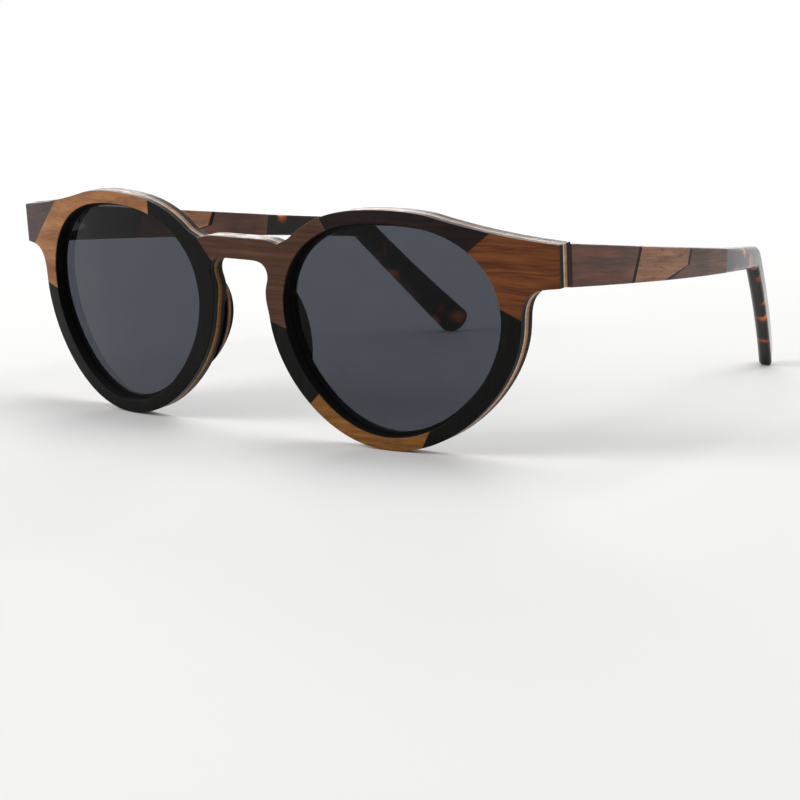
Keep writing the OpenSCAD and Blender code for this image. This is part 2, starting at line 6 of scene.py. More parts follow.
import bmesh
import bpy
import numpy as np
from bpy.props import FloatProperty, FloatVectorProperty, PointerProperty
from mathutils import Matrix, Vector, geometry


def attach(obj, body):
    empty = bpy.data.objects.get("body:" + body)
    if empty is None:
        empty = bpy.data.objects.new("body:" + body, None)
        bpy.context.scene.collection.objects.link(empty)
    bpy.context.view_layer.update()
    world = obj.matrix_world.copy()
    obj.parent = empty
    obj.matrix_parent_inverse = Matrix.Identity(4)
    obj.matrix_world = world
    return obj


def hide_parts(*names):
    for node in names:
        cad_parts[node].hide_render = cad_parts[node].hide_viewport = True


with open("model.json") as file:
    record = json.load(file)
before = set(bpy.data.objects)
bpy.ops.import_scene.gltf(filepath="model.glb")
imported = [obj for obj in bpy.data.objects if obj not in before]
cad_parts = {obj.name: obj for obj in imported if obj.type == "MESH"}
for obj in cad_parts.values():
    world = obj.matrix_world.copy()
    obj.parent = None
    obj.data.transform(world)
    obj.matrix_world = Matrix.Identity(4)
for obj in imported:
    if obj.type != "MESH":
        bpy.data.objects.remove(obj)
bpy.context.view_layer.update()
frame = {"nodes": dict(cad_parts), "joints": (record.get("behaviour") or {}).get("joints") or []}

bl_info = {
    "name": "Wooden Sunglasses",
    "version": (1, 0, 0),
    "blender": (4, 5, 0),
    "location": "View3D > Sidebar > Sunglasses",
    "description": "Builds the visible pieces of a pair of laminated wooden sunglasses on their CAD frame",
    "category": "Add Mesh",
}

MM = 0.001
# Share of red, green and blue kept by the ply edges beside the nose: a painted shade that darkens their
# colour where shade falls
NOSE_WALL_PAINTED_SHADE = (0.43, 0.35, 0.17)
# Places of the stained walls' finish and of the painted-shade finish beside the nose in a piece's materials
WALL, NOSE_SHADE_SLOT = 1, 2
# Spacing of points along the outline and across a plate, and their least distance from its rims
OUTLINE_GAP, GRID, GRID_CLEAR = 0.55 * MM, 1.3 * MM, 1.1 * MM
# Steps of a quarter round on the front's edges, and on those of the temples and pads
ROUND_STEPS, CORNER_STEPS = 4, 5
# Faces that meet at more than this keep a sharp edge
SHARP = math.radians(40)
# Depths from which and to which the face is cut into veneers
FACE_CUT = (-30 * MM, 60 * MM)
# Reach of the temples' cutters, in metres, past every point of a temple
SPAN = 0.2
# Play of a lens at its rim and at each face, and the bevel of its edges
LENS_PLAY, LENS_CLEAR, LENS_BEVEL = 0.03 * MM, 0.01 * MM, 0.12 * MM
# Rings of a nose pad, degrees they spread to on either side, and how far the pad sinks into the rim
PAD_RINGS, PAD_TURN, PAD_SINK = 61, 88, 0.02 * MM
# Run in which the rounding of the wood grows to that of the tip
ROUND_RUN = 14 * MM
# Half the floor's side and the distances between which it fades, in metres
FLOOR_HALF, FLOOR_FADE = 2, (0.3, 0.9)
# Strength of the white room where it only lights
AMBIENT = 0.4
SENSOR_MM = 36
# Place, aim, width and height in metres, and watts of each lamp
LAMPS = (
    ("key", (-0.75, -1.05, 0.6), (0, 0, 0.02), 0.7, 0.7, 10.0),
    ("rim", (-0.72, 0.98, 0.42), (0, -0.05, 0.03), 0.6, 0.35, 5.0),
    ("sky", (0.1, 0.35, 1.1), (0, 0, 0.0), 1.2, 0.8, 5.5),
)

# Inlay seams round each lens: place and lean, in degrees
SEAMS = {
    "right_brow": (123, -2),
    "right_end": (41, 0),
    "right_cheek": (8, -37),
    "right_foot": (-71, -44),
    "right_nose": (-137, 2),
    "right_bridge": (-177, -20),
    "left_brow": (118, -28),
    "left_cheek": (0, 14),
}


def linear(hex_code):
    """An sRGB hex colour as linear red, green and blue."""
    channels = [int(hex_code[i:i + 2], 16) / 255 for i in (1, 3, 5)]
    return [c / 12.92 if c <= 0.04045 else ((c + 0.055) / 1.055) ** 2.4 for c in channels]


def length(name, description, millimetres):
    return FloatProperty(
        name=name, description=description, default=millimetres * MM, unit="LENGTH", precision=5)


def angle(name, description, degrees):
    return FloatProperty(
        name=name, description=description, default=math.radians(degrees), subtype="ANGLE")


def number(name, description, value):
    return FloatProperty(name=name, description=description, default=value)


def colour(name, description, hex_code):
    return FloatVectorProperty(
        name=name, description=description, default=linear(hex_code), subtype="COLOR", min=0, max=1)


class SunglassesFront(bpy.types.PropertyGroup):
    """Sizes of the front, its plies and its lenses."""

    aperture_width: length("Opening width", "Width of each lens opening", 47)
    aperture_height: length("Opening height", "Height of each lens opening", 42.9)
    aperture_egg: length("Opening egg", "How much the opening narrows towards the cheek", 0.96)
    lens_thickness: length("Lens thickness", "Thickness of each lens", 1)
    groove_depth: length("Groove depth", "Depth of the groove that holds the lens", 0.8)
    bridge_gap: length("Bridge gap", "Clear distance between the lens openings", 22.5)
    rim_side: length("Rim side", "Width of the rim beside the lens", 3.9)
    rim_edge: length("Rim edge", "Width of the rim above and below the lens", 2.65)
    wrap_radius: length("Wrap radius", "Radius of the sideways wrap, on the face", 175)
    flat_margin: length("Flat margin", "Distance from the opening to where the wrap begins", 1.25)
    end_reach: length("End reach", "How far the end piece stands out beyond the rim", 7.45)
    end_height: length("End height", "Height of the end piece where the temple meets it", 8.35)
    end_level: length("End level", "Height of the end piece's middle above the lens centre", 12.9)
    bridge_level: length("Bridge level", "Height of the bridge's top edge above the lens centre", 15.85)
    bridge_bar: length("Bridge bar", "Depth of the bridge from top to bottom", 4.45)
    bridge_top_half: length("Bridge top", "Half width of the bridge's straight top edge", 7.4)
    notch_drop: length("Notch drop", "Step down from the bridge's top edge to the rim", 0.7)
    keyhole_wall: length("Keyhole wall", "Wall from the opening to the nose gap at its widest", 3.75)
    neck_wall: length("Neck wall", "Wall from the opening to the nose gap at its neck", 4.55)
    ply_face: length("Face veneer", "Thickness of the inlaid face", 0.4)
    ply_front: length("Front ply", "Thickness of the black ply behind the face", 1)
    ply_mid: length("Middle ply", "Thickness of the light middle ply", 1.2)
    cream_share: length("Cream layer", "Thickness of the pale layer in the middle ply", 0.5)
    glue_line: length("Glue line", "Thickness of the dark line in the middle ply", 0.1)
    groove_lip: length("Groove lip", "Thickness of the lip behind the lens", 0.5)
    edge_round: length("Edge rounding", "Radius of the sanded edges of the front", 0.2)
    seam_left_end: length("Left end seam", "Distance of the left end seam from the end", 7.2)
    slope_left_end: angle("Left end slope", "Slope of the left end seam", -45)
    slope_left_bridge: angle("Left bridge slope", "Slope of the left seam at the bridge", 129)


class SunglassesPads(bpy.types.PropertyGroup):
    """Sizes of the nose pads."""

    height: length("Height", "Height of each nose pad", 19.4)
    width: length("Width", "Greatest width of each nose pad", 2.8)
    depth: length("Depth", "How far each nose pad stands behind the rim", 4)
    inset: length("Inset", "Distance of the pad's middle from the lens opening", 2.3)
    level: length("Level", "Height of the pad's middle above the lens centre", -2.8)
    curve: length("Curve", "How far the pad's ends bend away from the nose", 2)
    tilt: length("Tilt", "How much further from the nose the pad's lower end lies than its middle", 2)
    lean: angle("Lean", "Lean of the pad away from the nose, towards its back", 18)
    bow: number("Bow", "Fullness of the pad's bowed back, fuller for a smaller value", 0.8)
    end: length("End", "Half width of the pad's blunt ends", 0.15)
    ply: length("Light ply", "Thickness of the light ply in each pad", 1.35)
    cap: length("Cap", "Thickness of the cap on each pad", 1.9)
    edge_round: length("Edge rounding", "Radius of the pad's sanded edges", 0.5)


class SunglassesTemples(bpy.types.PropertyGroup):
    """Sizes of the temples and their tips."""

    length: length("Length", "Length from the front to the ear bend", 105.4)
    tip_length: length("Tip length", "Length from the ear bend to the end of the tip", 43)
    fall: angle("Fall", "Fall of the temple below the front's own normal", 9.9)
    tip_bend: angle("Tip bend", "Further fall of the tip below the temple", 37.6)
    bend_radius: length("Bend radius", "Radius of the ear bend on the middle line", 6)
    drop: length("Drop", "Distance of the middle line below the end piece's middle", 0.5)
    height: length("Height", "Height at the joint of wood and tip", 5.3)
    bend_height: length("Bend height", "Height of the tip at the ear bend", 5)
    tip_width: length("Tip width", "Width of the tip near its end", 7)
    bow_radius: length("Bow radius", "Radius of the sideways bow, on the outer face", 283)
    bow_start: angle("Bow start", "Outward start angle of the bow at the hinge", 4.5)
    thickness: length("Thickness", "Thickness at the hinge", 3.9)
    taper: length("Taper", "How fast the temple thins towards the tip", 1.4)
    seam_front: length("Front seam", "Distance from the front to the first seam", 24)
    seam_rear: length("Rear seam", "Distance from the front to the second seam", 48)
    left_seam_shift: length("Left seam shift", "How much further back the left temple's seams lie", 5)
    seam_slant: number("Seam slant", "Run of the seams for each unit of height", 0.52)
    seam_line: length("Seam line", "Width of the black veneer lines in the seams", 1.3)
    kink_drop: length("Kink drop", "Drop of the second seam's kink below the middle line", 0.3)
    kink_slope: angle("Kink slope", "Slope of the second seam in front of its kink", 4.3)
    splice: length("Splice", "Distance from the front to the joint of wood and tip", 72)
    tip_cap: length("Tip cap", "Length of the rounded end of the tip", 2.4)
    butt_gap: length("Butt gap", "Gap between the front and the temple's end", 0.35)
    wood_round: length("Wood rounding", "Radius of the temple's sanded edges", 0.35)
    tip_round: length("Tip rounding", "Radius of the tip's polished edges", 1.15)


class SunglassesHinges(bpy.types.PropertyGroup):
    """Sizes that place the hinges and soften their edges."""

    barrel_radius: length("Barrel radius", "Radius of the hinge barrel", 1.5)
    inset: length("Inset", "Gap between the barrel and the temple's inner face", 0.7)
    standoff: length("Standoff", "Gap between the barrel and the back of the front", 1.05)
    edge_round: length("Edge rounding", "Radius of the leaves' tumbled edges", 0.1)


class SunglassesColours(bpy.types.PropertyGroup):
    """Main colour of each material."""

    tan_walnut: colour("Tan walnut", "Left brow", "#93643F")
    smoked_wood: colour("Smoked oak", "Left end piece", "#483D3B")
    ebony: colour("Ebony", "Left rim, right cheek and right nose", "#0F0E0D")
    brown_walnut: colour("Brown walnut", "Bridge", "#4C3122")
    red_brown_wood: colour("Fumed rosewood", "Right brow", "#1E1412")
    zebrano: colour("Zebrano", "Right end piece", "#683A1B")
    olive_wood: colour("Olive wood", "Right foot", "#7C5125")
    black_ply: colour("Black ply", "Front and rear plies", "#12100F")
    cream_ply: colour("Cream ply", "Pale half of the middle ply", "#C8AE92")
    tan_ply: colour("Tan ply", "Warm half of the middle ply", "#A87446")
    pad_ply: colour("Pad ply", "Light ply of the nose pads", "#7A4B25")
    stain: colour("Black stain", "Walls of the lens openings", "#0B0A0A")
    rosewood: colour("Rosewood", "Temple roots and rears", "#5C3D31")
    pale_walnut: colour("Pale walnut", "Temple middles", "#976A4F")
    acetate: colour("Acetate", "Dark ground of the tortoiseshell tips", "#130A07")
    # Partly the amber's own colour, partly brightened into a painted glow of light through the spots
    acetate_spot: colour("Acetate spots", "Amber spots of the tortoiseshell tips", "#D8842C")
    lens: colour("Lens tint", "Colour that the lens lets through", "#494D54")
    steel: colour("Hinge steel", "Leaves, pins and screws", "#BDB8B0")


class SunglassesStage(bpy.types.PropertyGroup):
    """Camera, floor and light."""

    azimuth: angle("Azimuth", "Camera direction round the front's own upright axis", 35.809)
    elevation: angle("Elevation", "Camera height above the level of the front's own frame", 14.654)
    roll: angle("Roll", "Camera turn about its own axis", -2.773)
    distance: length("Distance", "Distance from the camera to its target", 408.465)
    target: FloatVectorProperty(
        name="Target", description="Point in the middle of the picture, in the front's own frame",
        default=(0.0389013, 0, -0.0137227), subtype="TRANSLATION", unit="LENGTH")
    focal: number("Focal length", "Focal length for a 36 mm sensor, in mm", 94.28)
    floor_colour: colour("Floor", "Pale matte floor", "#FAFAF9")


def heading(turn):
    """A step of one unit at an angle."""
    return np.array([math.cos(turn), math.sin(turn)])


def quarter(turn):
    """Angles of a quarter round that starts at so many degrees."""
    return np.radians(turn + np.linspace(0, 90, CORNER_STEPS + 1))


def bezier(a, b, c, steps):
    u = np.linspace(0, 1, steps + 1)[:, None]
    return (1 - u) ** 2 * np.array(a) + 2 * u * (1 - u) * np.array(b) + u ** 2 * np.array(c)


def spaced(points, gap):
    """The same line with points at even spacing, smoothed a little between its fixed ends."""
    points = np.array(points, float)
    steps = np.linalg.norm(np.diff(points, axis=0), axis=1)
    along = np.concatenate([[0], np.cumsum(steps)])
    count = max(2, int(round(along[-1] / gap)) + 1)
    at = np.linspace(0, along[-1], count)
    line = np.stack([np.interp(at, along, points[:, i]) for i in (0, 1)], axis=1)
    for _ in range(3):
        line[1:-1] = (line[:-2] + 2 * line[1:-1] + line[2:]) / 4
    return line


def inset(loop, distance):
    """A closed loop moved to its left by a distance, with mitred corners."""
    edge = np.roll(loop, -1, axis=0) - loop
    edge /= np.linalg.norm(edge, axis=1)[:, None]
    left = np.stack([-edge[:, 1], edge[:, 0]], axis=1)
    before = np.roll(left, 1, axis=0)
    mitre = (left + before) / (1 + np.sum(left * before, axis=1))[:, None]
    return loop + distance * mitre


def inside(points, loop):
    """Which points lie inside a closed loop."""
    x, y = points[:, 0][:, None], points[:, 1][:, None]
    ax, ay = loop[:, 0], loop[:, 1]
    bx, by = np.roll(ax, -1), np.roll(ay, -1)
    rise = np.where(by == ay, 1e-12, by - ay)
    crossing = ((ay > y) != (by > y)) & (x < ax + (y - ay) * (bx - ax) / rise)
    return crossing.sum(axis=1) % 2 == 1


class FrontShape:
    """Outlines and depths of the front, in metres, in the front's own upright frame."""

    def __init__(self, s):
        self.s = s
        self.lens_x = (s.aperture_width + s.bridge_gap) / 2
        self.flat_half = s.bridge_gap / 2 - s.flat_margin
        self.rim_w = s.aperture_width + 2 * s.rim_side
        self.rim_h = s.aperture_height + 2 * s.rim_edge
        self.end_x = self.lens_x + self.rim_w / 2 + s.end_reach
        self.bridge_under = s.bridge_level - s.bridge_bar
        self.keyhole_half = s.bridge_gap / 2 - s.keyhole_wall
        self.neck_half = s.bridge_gap / 2 - s.neck_wall
        self.d_front = s.ply_face
        self.d_mid = self.d_front + s.ply_front
        self.d_rear = self.d_mid + s.ply_mid
        self.d_groove = self.d_rear + s.lens_thickness
        self.d_back = self.d_groove + s.groove_lip

    def polar(self, w, h, t):
        return (w + h) / 4 + (w - h) / 4 * np.cos(2 * t) + self.s.aperture_egg * np.sin(3 * t)

    def ring(self, w, h, degrees):
        t = np.radians(np.array(degrees, float))
        r = self.polar(w, h, t)
        return np.stack([self.lens_x + r * np.cos(t), r * np.sin(t)], axis=-1)

    def rim(self, degrees):
        return self.ring(self.rim_w, self.rim_h, degrees)

    def opening(self, grow=0.0):
        """Lens opening on the right, clockwise, so that the wood lies on its left."""
        s = self.s
        return self.ring(s.aperture_width + 2 * grow, s.aperture_height + 2 * grow, np.arange(360, 0, -1.5))

    def outline(self, gap):
        """Whole face outline, counter-clockwise."""
        s = self.s
        notch = [s.bridge_gap / 2 - 0.76 * s.flat_margin, s.bridge_level - s.notch_drop]
        top = np.array([self.end_x, s.end_level + s.end_height / 2])
        low = np.array([self.end_x, s.end_level - s.end_height / 2])
        brow = self.rim(66)
        brow_bow = [(brow[0] + self.end_x) / 2, top[1] + 0.31 * (brow[1] - top[1])]
        cheek = self.rim(4)
        cheek_bow = [cheek[0], low[1] - 0.06 * s.end_height]
        cheek_end = [cheek[0] + 0.6 * s.end_reach, low[1] - 0.03 * s.end_height]
        neck = [self.neck_half, 0.44 * self.bridge_under]
        neck_bow = [0.985 * self.neck_half, 0.28 * self.bridge_under]
        throat = [0.75 * self.neck_half + 0.25 * self.keyhole_half, 0.55 * self.bridge_under]
        keyhole = [self.keyhole_half, 0.68 * self.bridge_under]
        keyhole_bow = [1.05 * self.keyhole_half, 0.99 * self.bridge_under]
        keyhole_top = [0.53 * self.keyhole_half, self.bridge_under]
        upper = np.vstack([[notch], self.rim(np.arange(143, 67, -2.0)), bezier(brow, brow_bow, top, 12)])
        lower = np.vstack([
            [low], bezier(cheek_end, cheek_bow, cheek, 12), self.rim(np.arange(-1, -181, -2.0)),
            bezier(self.rim(178), neck_bow, neck, 6), [throat],
            bezier(keyhole, keyhole_bow, keyhole_top, 10), [[0, self.bridge_under]]])
        bridge = [[0, s.bridge_level], [s.bridge_top_half, s.bridge_level], notch]
        runs = [spaced(bridge, gap), spaced(upper, gap), spaced([top, low], gap), spaced(lower, gap)]
        half = np.vstack([run[:-1] for run in runs] + [runs[-1][-1:]])
        other = half[1:-1] * [-1, 1]
        return np.vstack([half, other[::-1]])[::-1]

    def depth(self, x, d):
        """Distance behind the face's middle of a surface d behind the face."""
        out = np.maximum(np.abs(x) - self.flat_half, 0)
        radius = self.s.wrap_radius
        return radius - np.sqrt((radius - d) ** 2 - out ** 2)

    def point(self, flat, d):
        flat = np.asarray(flat)
        return np.stack([flat[:, 0], self.depth(flat[:, 0], d), flat[:, 1]], axis=1)


class TempleShape:
    """Middle line, heights and bow of the right temple, in metres, in the front's own frame."""

    def __init__(self, s, front):
        self.s, self.front = s, front
        self.y0 = float(front.depth(front.end_x, front.d_back))
        self.z0 = front.s.end_level - s.drop
        self.tip_fall = s.fall + s.tip_bend
        self.cut = s.bend_radius * math.tan(s.tip_bend / 2)
        self.splice_y = self.y0 + s.splice
        bend = np.array([self.y0, self.z0]) + s.length * heading(-s.fall)
        self.bend_in = bend - self.cut * heading(-s.fall)
        self.bend_c = self.bend_in - s.bend_radius * heading(s.fall)[::-1]
        self.tip_run = s.tip_length - self.cut - s.tip_cap
        self.bow_c = (front.end_x - s.bow_radius * math.cos(s.bow_start),
                      self.y0 + s.bow_radius * math.sin(s.bow_start))
        self.r_in = s.bow_radius - s.thickness + s.taper * math.sin(s.bow_start)

    def line_z(self, y):
        return self.z0 - (y - self.y0) * math.tan(self.s.fall)

    def outer_x(self, y):
        return self.bow_c[0] + np.sqrt(self.s.bow_radius ** 2 - (y - self.bow_c[1]) ** 2)

    def inner_x(self, y):
        return self.bow_c[0] + np.sqrt(self.r_in ** 2 - (y - self.bow_c[1] - self.s.taper) ** 2)

    def wood_half(self, y):
        end = self.front.s.end_height
        return (end + (self.s.height - end) * (y - self.y0) / self.s.splice) / 2

    def wood_stations(self):
        """Middle point, fall, half height and thickness share along the wood."""
        for y in np.linspace(self.y0 - 3 * MM, self.splice_y, 40):
            yield np.array([y, self.line_z(y)]), self.s.fall, self.wood_half(y), 1.0

    def tip_stations(self):
        s = self.s
        start = np.array([self.splice_y, self.line_z(self.splice_y)])
        for u in np.linspace(0, 1, 12, endpoint=False):
            half = s.height / 2 + u * (s.bend_height - s.height) / 2
            yield start + u * (self.bend_in - start), s.fall, half, 1.0
        for u in np.linspace(0, 1, 18, endpoint=False):
            fall = s.fall + u * s.tip_bend
            centre = self.bend_c + s.bend_radius * heading(fall)[::-1]
            yield centre, fall, (s.bend_height + u * (s.height - s.bend_height)) / 2, 1.0
        foot = self.bend_c + s.bend_radius * heading(self.tip_fall)[::-1]
        run = heading(-self.tip_fall)
        for u in np.linspace(0, 1, 20, endpoint=False):
            half = (s.height + (s.tip_width - s.height) * (1 - math.cos(u * math.pi / 2))) / 2
            yield foot + u * self.tip_run * run, self.tip_fall, half, 1.0
        for a in np.radians(np.linspace(90, 9, 12)):
            thin = 0.35 + 0.65 * math.sqrt(math.sin(a))
            end = foot + (self.tip_run + s.tip_cap * math.cos(a)) * run
            yield end, self.tip_fall, s.tip_width / 2 * math.sin(a), thin

    def section(self, centre, fall, half, thin, radius):
        """Rounded section round the middle line, from the outer top corner inwards."""
        up = heading(fall)[::-1]
        thick = (self.outer_x(centre[0]) - self.inner_x(centre[0])) / 2 * thin
        r = min(radius, 0.92 * thick, 0.92 * half)
        points = []
        for side, level, turn in ((1, 1, 0), (-1, 1, 90), (-1, -1, 180), (1, -1, 270)):
            for a in quarter(turn):
                across = side * (thick - r) + r * math.cos(a)
                height = level * (half - r) + r * math.sin(a)
                y, z = centre + height * up
                middle = (self.outer_x(y) + self.inner_x(y)) / 2
                points.append((middle + across, y, z))
        return points


def front_props():
    return bpy.context.scene.sunglasses_front


def front_shape():
    return FrontShape(front_props())


def temple_shape():
    return TempleShape(bpy.context.scene.sunglasses_temples, front_shape())


def hinge_point():
    """Hinge axis of the right temple, in the front's own frame."""
    hinge, temple = bpy.context.scene.sunglasses_hinges, temple_shape()
    x = temple.inner_x(temple.y0) - hinge.barrel_radius - hinge.inset
    y = temple.front.depth(x, temple.front.d_back) + hinge.barrel_radius + hinge.standoff
    return Vector((x, float(y), temple.z0))


def standing():
    """Turn and shift from the front's own frame to the standing pose, read from the right hinge's joint."""
    joint = next(j for j in frame["joints"] if j["child"] == "right_temple")
    turn = Matrix.Rotation(math.atan2(-joint["axis"][1], joint["axis"][2]), 4, "X")
    return Matrix.Translation(Vector(joint["pos_m"]) - turn @ hinge_point()) @ turn


def mesh_object(name, points, faces, marks=None):
    mesh = bpy.data.meshes.new(name)
    mesh.from_pydata([tuple(p) for p in points], [], [tuple(f) for f in faces])
    if marks is not None:
        mesh.polygons.foreach_set("material_index", np.array(marks, np.int32))
        for _ in range(max(marks) + 1):
            mesh.materials.append(None)
    tidy = bmesh.new()
    tidy.from_mesh(mesh)
    bmesh.ops.recalc_face_normals(tidy, faces=tidy.faces)
    tidy.to_mesh(mesh)
    tidy.free()
    made = bpy.data.objects.new(name, mesh)
    bpy.context.scene.collection.objects.link(made)
    return made


def plate(name, shape, loops, rails):
    """A curved plate. Each loop has rails of inset, depth and the mark of the strip after it."""
    spread = np.vstack(loops)
    low, high = spread.min(axis=0), spread.max(axis=0)
    xs, zs = (np.arange(low[i] + GRID / 2, high[i], GRID) for i in (0, 1))
    inner = np.stack(np.meshgrid(xs, zs), axis=-1).reshape(-1, 2)
    keep = sum(inside(inner, loop).astype(int) for loop in loops) % 2 == 1
    gap = np.linalg.norm(inner[:, None, :] - spread[None, :, :], axis=2).min(axis=1)
    inner = inner[keep & (gap > GRID_CLEAR)]
    points, faces, marks = [], [], []

    def cap(which):
        flat = [inset(loop, rail[which][0]) for loop, rail in zip(loops, rails)]
        first, edges = 0, []
        for loop in flat:
            edges += [(first + i, first + (i + 1) % len(loop)) for i in range(len(loop))]
            first += len(loop)
        every = np.vstack(flat + [inner])
        found = geometry.delaunay_2d_cdt([Vector(p) for p in every], edges, [], 0, 1e-9)
        out = np.array([tuple(p) for p in found[0]])
        triangles = np.array(found[2])
        middle = out[triangles].mean(axis=1)
        solid = sum(inside(middle, loop).astype(int) for loop in flat) % 2 == 1
        if len(found[3]) != len(every):
            raise RuntimeError(f"the rims of {name} cross")
        source = [ids[0] for ids in found[3]]
        base = len(points)
        depth = rails[0][which][1]
        points.extend(shape.point(every, depth))
        for tri in triangles[solid]:
            faces.append([base + source[i] for i in tri])
            marks.append(0)
        return base

    starts = (cap(0), cap(-1))
    first = 0
    for loop, rail in zip(loops, rails):
        count = len(loop)
        previous = [starts[0] + first + i for i in range(count)]
        for step in range(1, len(rail)):
            if step == len(rail) - 1:
                current = [starts[1] + first + i for i in range(count)]
            else:
                current = [len(points) + i for i in range(count)]
                points.extend(shape.point(inset(loop, rail[step][0]), rail[step][1]))
            for i in range(count):
                j = (i + 1) % count
                faces.append([previous[i], previous[j], current[j], current[i]])
                marks.append(rail[step - 1][2])
            previous = current
        first += count
    return mesh_object(name, points, faces, marks)


def loft(name, rings):
    """Closed skin over a row of rings."""
    count = len(rings[0])
    points = [p for ring in rings for p in ring]
    faces = [list(range(count)), list(range(len(points) - count, len(points)))]
    for r in range(len(rings) - 1):
        for i in range(count):
            j = (i + 1) % count
            faces.append([r * count + i, r * count + j, (r + 1) * count + j, (r + 1) * count + i])
    return mesh_object(name, points, faces)


def prism(polygon, axis, low, high):
    """Closed prism over a polygon, along X or Y."""
    count = len(polygon)
    ends = []
    for level in (low, high):
        for a, b in polygon:
            ends.append((level, a, b) if axis == "X" else (a, level, b))
    faces = [list(range(count)), list(range(count, 2 * count))]
    faces += [[i, (i + 1) % count, count + (i + 1) % count, count + i] for i in range(count)]
    return mesh_object("cutter", ends, faces)


def carve(piece, cutter):
    """Keeps what lies inside a cutter."""
    change = piece.modifiers.new("carve", "BOOLEAN")
    change.operation = "INTERSECT"
    change.solver = "EXACT"
    change.object = cutter
    graph = bpy.context.evaluated_depsgraph_get()
    carved = bpy.data.meshes.new_from_object(piece.evaluated_get(graph))
    if not carved.polygons:
        raise RuntimeError(f"nothing is left of {piece.name}")
    piece.modifiers.clear()
    old, piece.data = piece.data, carved
    bpy.data.meshes.remove(old)
    bpy.data.objects.remove(cutter)
    return piece


def copy_of(piece, name):
    made = piece.copy()
    made.data = piece.data.copy()
    made.name = name
    bpy.context.scene.collection.objects.link(made)
    return made


def flip(piece):
    """Mirrors a piece to the left side."""
    piece.data.transform(Matrix.Scale(-1, 4, (1, 0, 0)))
    piece.data.flip_normals()
    return piece


def pair(right, name):
    """A piece of the right side and its mirrored copy, each with the name of its node."""
    left = flip(copy_of(right, "left_" + name))
    return ("right_" + name, right), ("left_" + name, left)


def settle(piece, body, nodes, slot, materials):
    """Stands a finished piece on its body, in place of its nodes, with its materials and smooth shading."""
    piece.data.transform(standing())
    piece.name = piece.data.name = piece.name.split(".")[0]
    while len(piece.data.materials) < len(materials):
        piece.data.materials.append(None)
    for place, finish in enumerate(materials):
        piece.data.materials[place] = finish
    piece.data.polygons.foreach_set("use_smooth", [True] * len(piece.data.polygons))
    piece.data.set_sharp_from_angle(angle=SHARP)
    normals = piece.modifiers.new("flat_faces", "WEIGHTED_NORMAL")
    normals.keep_sharp = True
    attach(piece, body)
    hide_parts(*nodes)


def add(tree, kind, inputs=None, ramp=None, out=0, **settings):
    """Adds a node with its settings, its values and its links, and gives one of its outputs."""
    made = tree.nodes.new(kind)
    for key, value in settings.items():
        setattr(made, key, value)
    for key, value in (inputs or {}).items():
        if isinstance(value, bpy.types.NodeSocket):
            tree.links.new(value, made.inputs[key])
        else:
            made.inputs[key].default_value = value
    if ramp:
        stops = made.color_ramp.elements
        while len(stops) < len(ramp):
            stops.new(1)
        for stop, (place, paint) in zip(stops, ramp):
            stop.position = place
            stop.color = (*paint, 1)
    return made.outputs[out] if made.outputs else None


def coated(name, main, coat):
    """The material of that name, made once. Its coat adds the nodes and gives the surface."""
    made = bpy.data.materials.get(name)
    if made is None:
        made = bpy.data.materials.new(name)
        made.use_nodes = True
        made.diffuse_color = (*main, 1)
        tree = made.node_tree
        tree.nodes.clear()
        place = add(tree, "ShaderNodeTexCoord", out="Object")
        add(tree, "ShaderNodeOutputMaterial", {"Surface": coat(tree, place)})
    return made


def shade(main, factor):
    """A colour made darker or lighter by one factor, or by one for each channel."""
    return [min(1, c * f) for c, f in zip(main, np.broadcast_to(factor, 3))]


def tone(name):
    return list(getattr(bpy.context.scene.sunglasses_colours, name))


